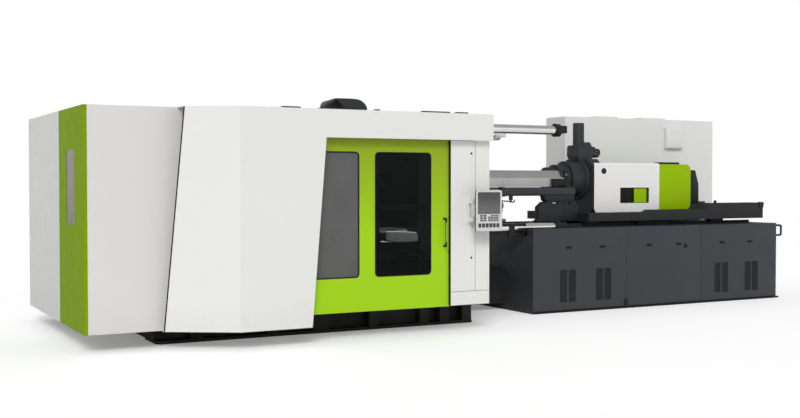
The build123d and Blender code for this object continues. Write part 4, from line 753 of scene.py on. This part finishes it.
def injection_head():
    neck = Piece("injection_neck", "injection_carriage", "casting_grey")
    turned(neck, ((2786, 2994, 130), (2990, 3156, 187.5), (3152, 3360, 231), (3356, 3612, 291)), "casting")
    disc = [(3604, 322), (3606, 334), (3614, 340), (3648, 340), (3651, 336)]
    neck.lathe("X", (0, AXIS_Z), disc, "casting", 96)
    neck.lathe("X", (0, AXIS_Z), [(3596, 312), (3600, 316), (3606, 316)], "casting", 96)
    neck.done(30)
    pipe = Piece("feed_pipe_shell", "injection_carriage", "casting_grey")
    pipe_x = 3674
    flange = [(2588, 135), (2606, 135), (2611, 131), (2612, 101)]
    wall = [(2620, 94), (2950, 94), (2972, 89), (2984, 76), (2989, 56)]
    pipe.lathe("Z", (pipe_x, 0), flange + wall, "casting", 48)
    for p, q in bolt_circle(113, 8):
        pipe.bolt("Z", (pipe_x + p, q), 2610, 1, "dark_steel", radius=9, height=9)
    pipe.done()
    lobe = Piece("throat_lobe", "injection_carriage", "casting_grey")
    outline = [
        (3690, 2440), (3690, 2640), (3735, 2668), (3815, 2672), (3850, 2652), (3868, 2604),
        (3940, 2588), (3968, 2546), (3930, 2468), (3880, 2416), (3800, 2400),
    ]
    lobe.prism(outline, "Y", -112, 112, "casting", bevel=12, segments=3)
    lobe.done()
    knob = Piece("throat_knob", "injection_carriage", "trim_black")
    shape = [
        (3918, 2452), (3962, 2410), (4022, 2416), (4062, 2462),
        (4068, 2520), (4040, 2560), (3990, 2566), (3944, 2530),
    ]
    knob.prism(shape, "Y", -96, 96, "black", bevel=14, segments=3)
    for x, z in ((3990, 2520), (4010, 2466), (3960, 2480)):
        knob.bolt("Y", (x, z), -96, -1, "steel", radius=8, height=8)
    knob.done()
    strip = Piece("guard_end_strip", "injection_carriage", "trim_black")
    strip.box(3206, 3268, -246, -150, 1926, 2196, "black", bevel=4)
    strip.bolt("Y", (3240, 2124), -246, -1, "steel", radius=13, height=11)
    strip.done()
    rams = Piece("nozzle_cylinder_shells", "injection_carriage", "cylinder_grey")
    face = 1840
    for side, end in ((-1, 3262), (1, 3650)):
        y = side * 400
        rams.lathe("X", (y, 1850), [(1150, 42), (1153, 46), (1900, 46)], "rod", 40)
        rams.prism(rounded(y - 64, y + 64, 1786, 1918, 34), "X", face, end, "cylinder", bevel=5)
        rams.prism(rounded(y - 74, y + 74, 1776, 1928, 40), "X", face, 1916, "cylinder", bevel=6)
        for dy in (-52, 52):
            for dz in (-52, 52):
                rams.bolt("X", (y + dy, 1852 + dz), face, -1, "dark_steel", radius=9, height=9)
    lug = [(-458, 1786), (-342, 1786), (-150, 1870), (-150, 2010), (-458, 1914)]
    rams.prism(lug, "X", 3180, 3262, "casting", bevel=10)
    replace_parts(rams.done(), "nozzle_cylinders")
    block = Piece("carriage_beams", "injection_carriage", "casting_black")
    beam = [(2398, 1378), (3236, 1384), (3236, 1638), (2551, 1672), (2474, 1612), (2475, 1414)]
    block.prism(beam, "Y", BEAM_FACE_Y, -440, "dark_casting", bevel=9)
    brace = [(2650, -446), (3236, -446), (3236, 432), (3222, 432)]
    block.prism(brace, "Z", 1400, 1600, "dark_casting", bevel=4)
    for x0, x1 in ((2560, 2765), (2883, 3080), (3140, 3236)):
        block.box(x0, x1, -520, -440, 1630, 1690, "dark_casting", bevel=5)
    for x in (2620, 2760, 2900, 3040):
        block.bolt("Y", (x, 1470), BEAM_FACE_Y, -1, "dark_steel", radius=15, height=13)
    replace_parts(block.done(), "carriage_block")
    support = Piece("neck_support", "injection_carriage", "casting_black")
    outline = [(2640, 1792), (2666, 1716), (2700, 1684), (3236, 1684), (3236, 1800), (2650, 1800)]
    support.prism(outline, "Y", -470, -340, "dark_casting", bevel=8)
    support.done()


def injection_covers():
    face = COVER_FACE_Y
    trims = Piece("cover_trims", "injection_carriage", "trim_black")
    peephole = ((-1.5, 50), (-1.5, 42), (12, 41), (14, 38))
    profile = [(face + out, radius) for out, radius in peephole]
    trims.lathe("Y", (3862, 2187), profile, "black", 32)
    ring_prism(
        trims, rounded(4205, 4821, 1655, 1912, 14), rounded(4213, 4813, 1663, 1904, 9),
        "Y", face - 2, face + 12, "rubber", bevel=1.5,
    )
    trims.box(4779, 4815, face, face + 10, 1660, 1908, "black", bevel=2)
    trims.done()
    # Near-black sheets behind the window frame and the peephole: painted shade in the openings.
    shadow_backing = Piece("cover_shadow_backing", "injection_carriage", "trim_black")
    shadow_backing.box(4198, 4478, face + 6, face + 11.5, 1650, 1918, "inside", bevel=1)
    shadow_backing.box(3790, 3920, face + 12, face + 16, 2120, 2252, "inside", bevel=1)
    shadow_backing.done()
    rim = Piece("cover_rims", "injection_carriage", "white_panel")
    rim.box(5034, 5049, face - 4, face + 4, 1504, 2300, "cover", bevel=3)
    rim.done()
    shell = Piece("drive_cover_shell", "injection_drive", "green_panel")
    open_shell(shell, rounded(4515, 5776, 1524, 2308, 110, 10), DRIVE_FACE_Y, -DRIVE_FACE_Y, 5, 12, "drive")
    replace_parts(shell.done(), "drive_cover")
    end = Piece("motor_end_cover", "injection_drive", "trim_black")
    side_view = [(5768, 1627), (6035, 1627), (6032, 1965), (5955, 2210), (5768, 2214)]
    end.prism(side_view, "Y", -350, 350, "black", bevel=16, segments=3)
    end.done()
    top = Piece("drive_top_plates", "injection_drive", "trim_black")
    for x0, x1 in ((5209, 5330), (5392, 5640)):
        plate = [(x0, 2306), (x0 + 12, 2345), (x1 - 26, 2345), (x1, 2306)]
        top.prism(plate, "Y", -300, -120, "black", bevel=6)
    top.done()
    seam = Piece("drive_cover_seam", "injection_drive", "green_panel")
    seam.box(5052, 5056, DRIVE_FACE_Y - 0.8, DRIVE_FACE_Y + 1, 1530, 2300, "drive_dark", bevel=0.3)
    seam.done()


def sled_details():
    knobs = Piece("sled_stops", "injection_carriage", "trim_black")
    knobs.lathe("Z", (5975, -800), [(1540, 18), (1640, 18), (1652, 24), (1684, 24), (1692, 16)], "black", 24)
    stop = [(6960, 1560), (6966, 1640), (6990, 1656), (7052, 1656), (7062, 1630), (7050, 1560)]
    knobs.prism(stop, "Y", -868, -790, "dark_casting", bevel=6)
    knobs.done()


# Injection bed

def bed_details():
    face = SHEET_FACE_Y
    vents = Piece("vent_louvres", "base", "trim_black")
    for x in (2625, 3322, 5815, 6508):
        for side in (-1, 1):
            centre = x + side * 84
            ring_prism(
                vents,
                rounded(centre - 61, centre + 61, 158, 652, 12),
                rounded(centre - 56, centre + 56, 163, 647, 8),
                "Y", face - 9, face + 1, "vent", bevel=1,
            )
            for i in range(22):
                z = 166 + i * 22
                slat = [(face - 6, z), (face - 1, z + 14), (face - 1, z + 18), (face - 8, z + 4)]
                vents.prism(slat, "X", centre - 57, centre + 57, "vent", bevel=0)
            # A near-black sheet behind the slats: painted shade in the louvre.
            vents.box(centre - 58, centre + 58, face - 1.5, face - 0.2, 162, 648, "inside", bevel=0.3)
    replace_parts(vents.done(), "bed_vents")
    for name, x0, x1 in (("left", BED_LEFT_X, 3771), ("middle", 3775, 5358), ("right", 5362, BED_RIGHT_X)):
        sheet = Piece(f"bed_sheet_{name}", "base", "bed_cover_charcoal")
        sheet.box(x0, x1, face, face + 7, 34, BED_TOP_Z, "bed_cover", bevel=2.5)
        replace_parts(sheet.done(), f"bed_cover_{name}")
    grips = Piece("cover_grips", "base", "trim_black")
    for x in (2642, 3298, 4250, 4874, 5830, 6475):
        ring_prism(
            grips, rounded(x - 58, x + 58, 975, 1016, 12), rounded(x - 48, x + 48, 982, 1009, 8),
            "Y", face - 4, face + 2, "black", bevel=1.5,
        )
        # A near-black sheet inside each grip ring: painted shade in the recess.
        grips.box(x - 50, x + 50, face - 1.5, face + 1, 980, 1011, "inside", bevel=0.5)
        grips.box(x - 46, x + 46, face - 7, face, 1001, 1010, "black", bevel=2)
    grips.done()
    knob = Piece("cover_knob", "base", "trim_black")
    profile = ((1, 36), (-6, 36), (-12, 32), (-14, 20), (-12, 14))
    knob.lathe("Y", (5023, 958), [(face + out, radius) for out, radius in profile], "black", 32)
    knob.box(5019, 5027, face - 20, face - 11, 936, 980, "black", bevel=3)
    knob.done()
    # A dark strip along the foot of the bed's front, and a black notch under the seam between the left and
    # middle sheets.
    foot_strip = Piece("bed_foot_dark_strip", "base", "trim_black")
    foot_strip.box(BED_LEFT_X, BED_RIGHT_X + 50, face - 15, face - 1, 1, 25.5, "rubber", bevel=3)
    foot_strip.box(3745, 3805, face - 16, face + 7, 20, 152, "black", bevel=4)
    foot_strip.done()
    shelf = Piece("bed_end_bracket", "base", "trim_black")
    shelf.box(1569, 1976, -930, -868, 1341, 1380, "black", bevel=6)
    shelf.box(1664, 1772, -924, -874, 1186, 1346, "black", bevel=6)
    shelf.box(1664, 1976, -918, -880, 1186, 1226, "black", bevel=5)
    shelf.box(1936, 1976, -918, -880, 1190, 1345, "black", bevel=5)
    shelf.done()
    deck = Piece("deck_sheets", "base", "bed_charcoal")
    right = BED_RIGHT_X - 2
    step = 2880
    for x0, x1, y0, y1 in (
        (BED_LEFT_X, right, -1106, -964), (step + 4, right, -961, -668), (BED_LEFT_X, step, -736, -668),
        (BED_LEFT_X, right, -590, 590),
        (BED_LEFT_X, step, 668, 736), (step + 4, right, 668, 1452), (BED_LEFT_X, step, 964, 1452),
    ):
        deck.box(x0, x1, y0, y1, BED_TOP_Z, BED_TOP_Z + 5, "deck", bevel=1.5)
    deck.done()
    upper = ((BED_RIGHT_X, 1251), (7160, 1252), (7236, 1252), (7270, 1242), (7270, 1200))
    lower = ((7270, 1130), (7270, 1090), (7236, 1080), (7160, 1080), (BED_RIGHT_X, 1081))
    loop_y = -1060
    loop = [(x, loop_y, z) for x, z in upper + lower]
    tube("lifting_loop", "base", "black", loop, 18)
    feet = Piece("lifting_loop_feet", "base", "trim_black")
    for z in (1251, 1081):
        feet.lathe("X", (loop_y, z), [(7099, 27), (7106, 27), (7109, 24), (7109, 16)], "black", 28)
    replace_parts(feet.done(), "lifting_handle")


# Tie bars and clamp

def clamp_details():
    rings = Piece("bar_wipers_fixed", "base", "cylinder_grey")
    for y, z in BARS:
        wiper = ((-4, 104), (4, 104), (8, 100), (9, 73), (2, 71.5))
        profile = [(PLATEN_BACK_X + out, radius) for out, radius in wiper]
        rings.lathe("X", (y, z), profile, "dark_steel", 48)
        for p, q in bolt_circle(128, 8):
            rings.bolt("X", (y + p, z + q), PLATEN_BACK_X, 1, "dark_steel", radius=13, height=11)
    rings.done()
    front = Piece("bar_wipers_mould_face", "base", "casting_grey")
    for y, z in BARS:
        front.lathe("X", (y, z), [(2, 98), (-8, 98), (-12, 94), (-12, 73), (-4, 71.5)], "dark_steel", 48)
    front.done()
    for name, side, look in (("bar_collars_front", -1, "black"), ("bar_collars_rear", 1, "cabinet")):
        collars = Piece(name, "clamp_carriage", "trim_black")
        for z in (AXIS_Z - BAR_LEVEL, AXIS_Z + BAR_LEVEL):
            y = side * BAR_SIDE
            turned_end = ((-4, 98), (0, 104), (16, 104), (20, 99), (84, 99), (90, 94))
            profile = [(COLLAR_START_X + out, radius) for out, radius in turned_end]
            collars.lathe("X", (y, z), profile, look, 48)
            collars.prism(rounded(y - 70, y + 70, z - 45, z + 70, 10), "X", 2638, COLLAR_END_X, look, bevel=5)
            collars.bolt("X", (y, z + 8), COLLAR_END_X, 1, look, radius=26, height=14)
        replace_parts(collars.done(), "tie_bar_collars")
    nut_face = 970
    for side, body in ((-1, "nuts_front"), (1, "nuts_rear")):
        bolts = Piece("nut_bolts_front" if side < 0 else "nut_bolts_rear", body, "plain_steel")
        for y, z in BARS:
            for dz in (-100, 100):
                bolts.bolt("X", (y + side * 160, z + dz), nut_face, 1, "dark_steel", radius=12, height=10)
        bolts.done()


# Cabinet

def cabinet_details():
    lid = Piece("junction_lid", "base", "cabinet_white")
    lid.prism(rounded(6356, 6729, 2640, 2998, 10), "Y", 819, 827, "cabinet", bevel=3)
    lid.prism(rounded(6372, 6713, 2656, 2982, 8), "Y", 816.5, 820, "cabinet", bevel=2)
    lid.done()
    for name, body, x in (("door_lever_left", "door_left", 5700), ("door_lever_right", "door_right", 5930)):
        lever = Piece(name, body, "trim_black")
        lever.prism(rounded(x - 18, x + 18, 2080, 2260, 14), "Y", 1459, 1466, "black", bevel=2)
        lever.box(x - 10, x + 10, 1464, 1484, 2100, 2225, "black", bevel=5)
        lever.done()


gate()
gate_interior()
column()
operator()
canopy_edge()
roof()
injection_head()
injection_covers()
sled_details()
bed_details()
clamp_details()
cabinet_details()

# Camera, light and floor

CAMERA_PLACE = (-7.607, -14.667, 2.017)
CAMERA_LOOK = (0.47368, 0.88026, -0.02539)
CAMERA_LENS = 49.07
FILL_LIGHT = 0.5
SEEN_LIGHT = 1.0
BAND_LIGHT = 1.0
CEILING_LIGHT = 0.38
KEY_WAY = (0.42, 0.80, -0.62)
KEY_STRENGTH = 1.7
KEY_SPREAD = 24
FLOOR_LIFT = 0.22
FLOOR_REACH = 60


def aim(obj, direction):
    obj.rotation_euler = Vector(direction).to_track_quat("-Z", "Y").to_euler()


def camera():
    data = bpy.data.cameras.new("camera")
    data.lens = CAMERA_LENS
    data.sensor_width = 36
    data.sensor_fit = "HORIZONTAL"
    data.clip_end = 200
    obj = bpy.data.objects.new("camera", data)
    bpy.context.scene.collection.objects.link(obj)
    obj.location = CAMERA_PLACE
    aim(obj, CAMERA_LOOK)
    bpy.context.scene.camera = obj


def background(tree, strength):
    node = tree.nodes.new("ShaderNodeBackground")
    node.inputs[0].default_value = (1, 1, 1, 1)
    node.inputs[1].default_value = strength
    return node


def world():
    """A plain studio: even fill, white for the camera, and a grey ceiling in reflections."""
    scene_world = bpy.data.worlds.new("studio")
    bpy.context.scene.world = scene_world
    scene_world.use_nodes = True
    tree = scene_world.node_tree
    tree.nodes.clear()
    out = tree.nodes.new("ShaderNodeOutputWorld")
    mix = tree.nodes.new("ShaderNodeMixShader")
    fill = background(tree, FILL_LIGHT)
    seen = background(tree, SEEN_LIGHT)
    coords = tree.nodes.new("ShaderNodeTexCoord").outputs["Generated"]
    ceiling = map_range(tree, height_of(tree, coords), 0.12, 0.55, BAND_LIGHT, CEILING_LIGHT, smooth=True)
    mirrored = background(tree, BAND_LIGHT)
    tree.links.new(ceiling, mirrored.inputs[1])
    path = tree.nodes.new("ShaderNodeLightPath")
    inner = tree.nodes.new("ShaderNodeMixShader")
    tree.links.new(path.outputs["Is Glossy Ray"], inner.inputs[0])
    tree.links.new(fill.outputs[0], inner.inputs[1])
    tree.links.new(mirrored.outputs[0], inner.inputs[2])
    factor = math_node(tree, "MAXIMUM", path.outputs["Is Camera Ray"], path.outputs["Is Transmission Ray"])
    tree.links.new(factor, mix.inputs[0])
    tree.links.new(inner.outputs[0], mix.inputs[1])
    tree.links.new(seen.outputs[0], mix.inputs[2])
    tree.links.new(mix.outputs[0], out.inputs[0])


def sun(name, direction, strength, angle):
    data = bpy.data.lights.new(name, "SUN")
    data.energy = strength
    data.angle = math.radians(angle)
    obj = bpy.data.objects.new(name, data)
    bpy.context.scene.collection.objects.link(obj)
    aim(obj, direction)


def floor():
    mat, tree, shader, coords = start_material("floor_pale")
    shader.inputs["Roughness"].default_value = 0.9
    shader.inputs["Specular IOR Level"].default_value = 0.1
    tone = mix_colours(tree, noise_node(tree, coords, 0.3, 2), srgb(250, 250, 250), srgb(254, 254, 254))
    tree.links.new(tone, shader.inputs["Base Color"])
    path = tree.nodes.new("ShaderNodeLightPath")
    shader.inputs["Emission Color"].default_value = (1, 1, 1, 1)
    lift = map_range(tree, path.outputs["Is Camera Ray"], 0, 1, 0, FLOOR_LIFT)
    tree.links.new(lift, shader.inputs["Emission Strength"])
    mesh = bpy.data.meshes.new("floor")
    s = FLOOR_REACH
    mesh.from_pydata([(-s, -s, 0), (s, -s, 0), (s, s, 0), (-s, s, 0)], [], [(0, 1, 2, 3)])
    mesh.materials.append(mat)
    obj = bpy.data.objects.new("floor", mesh)
    obj.location = (0, 0, -0.001)
    bpy.context.scene.collection.objects.link(obj)


camera()
world()
sun("key", KEY_WAY, KEY_STRENGTH, KEY_SPREAD)
floor()

view = bpy.context.scene.view_settings
view.view_transform = "Standard"
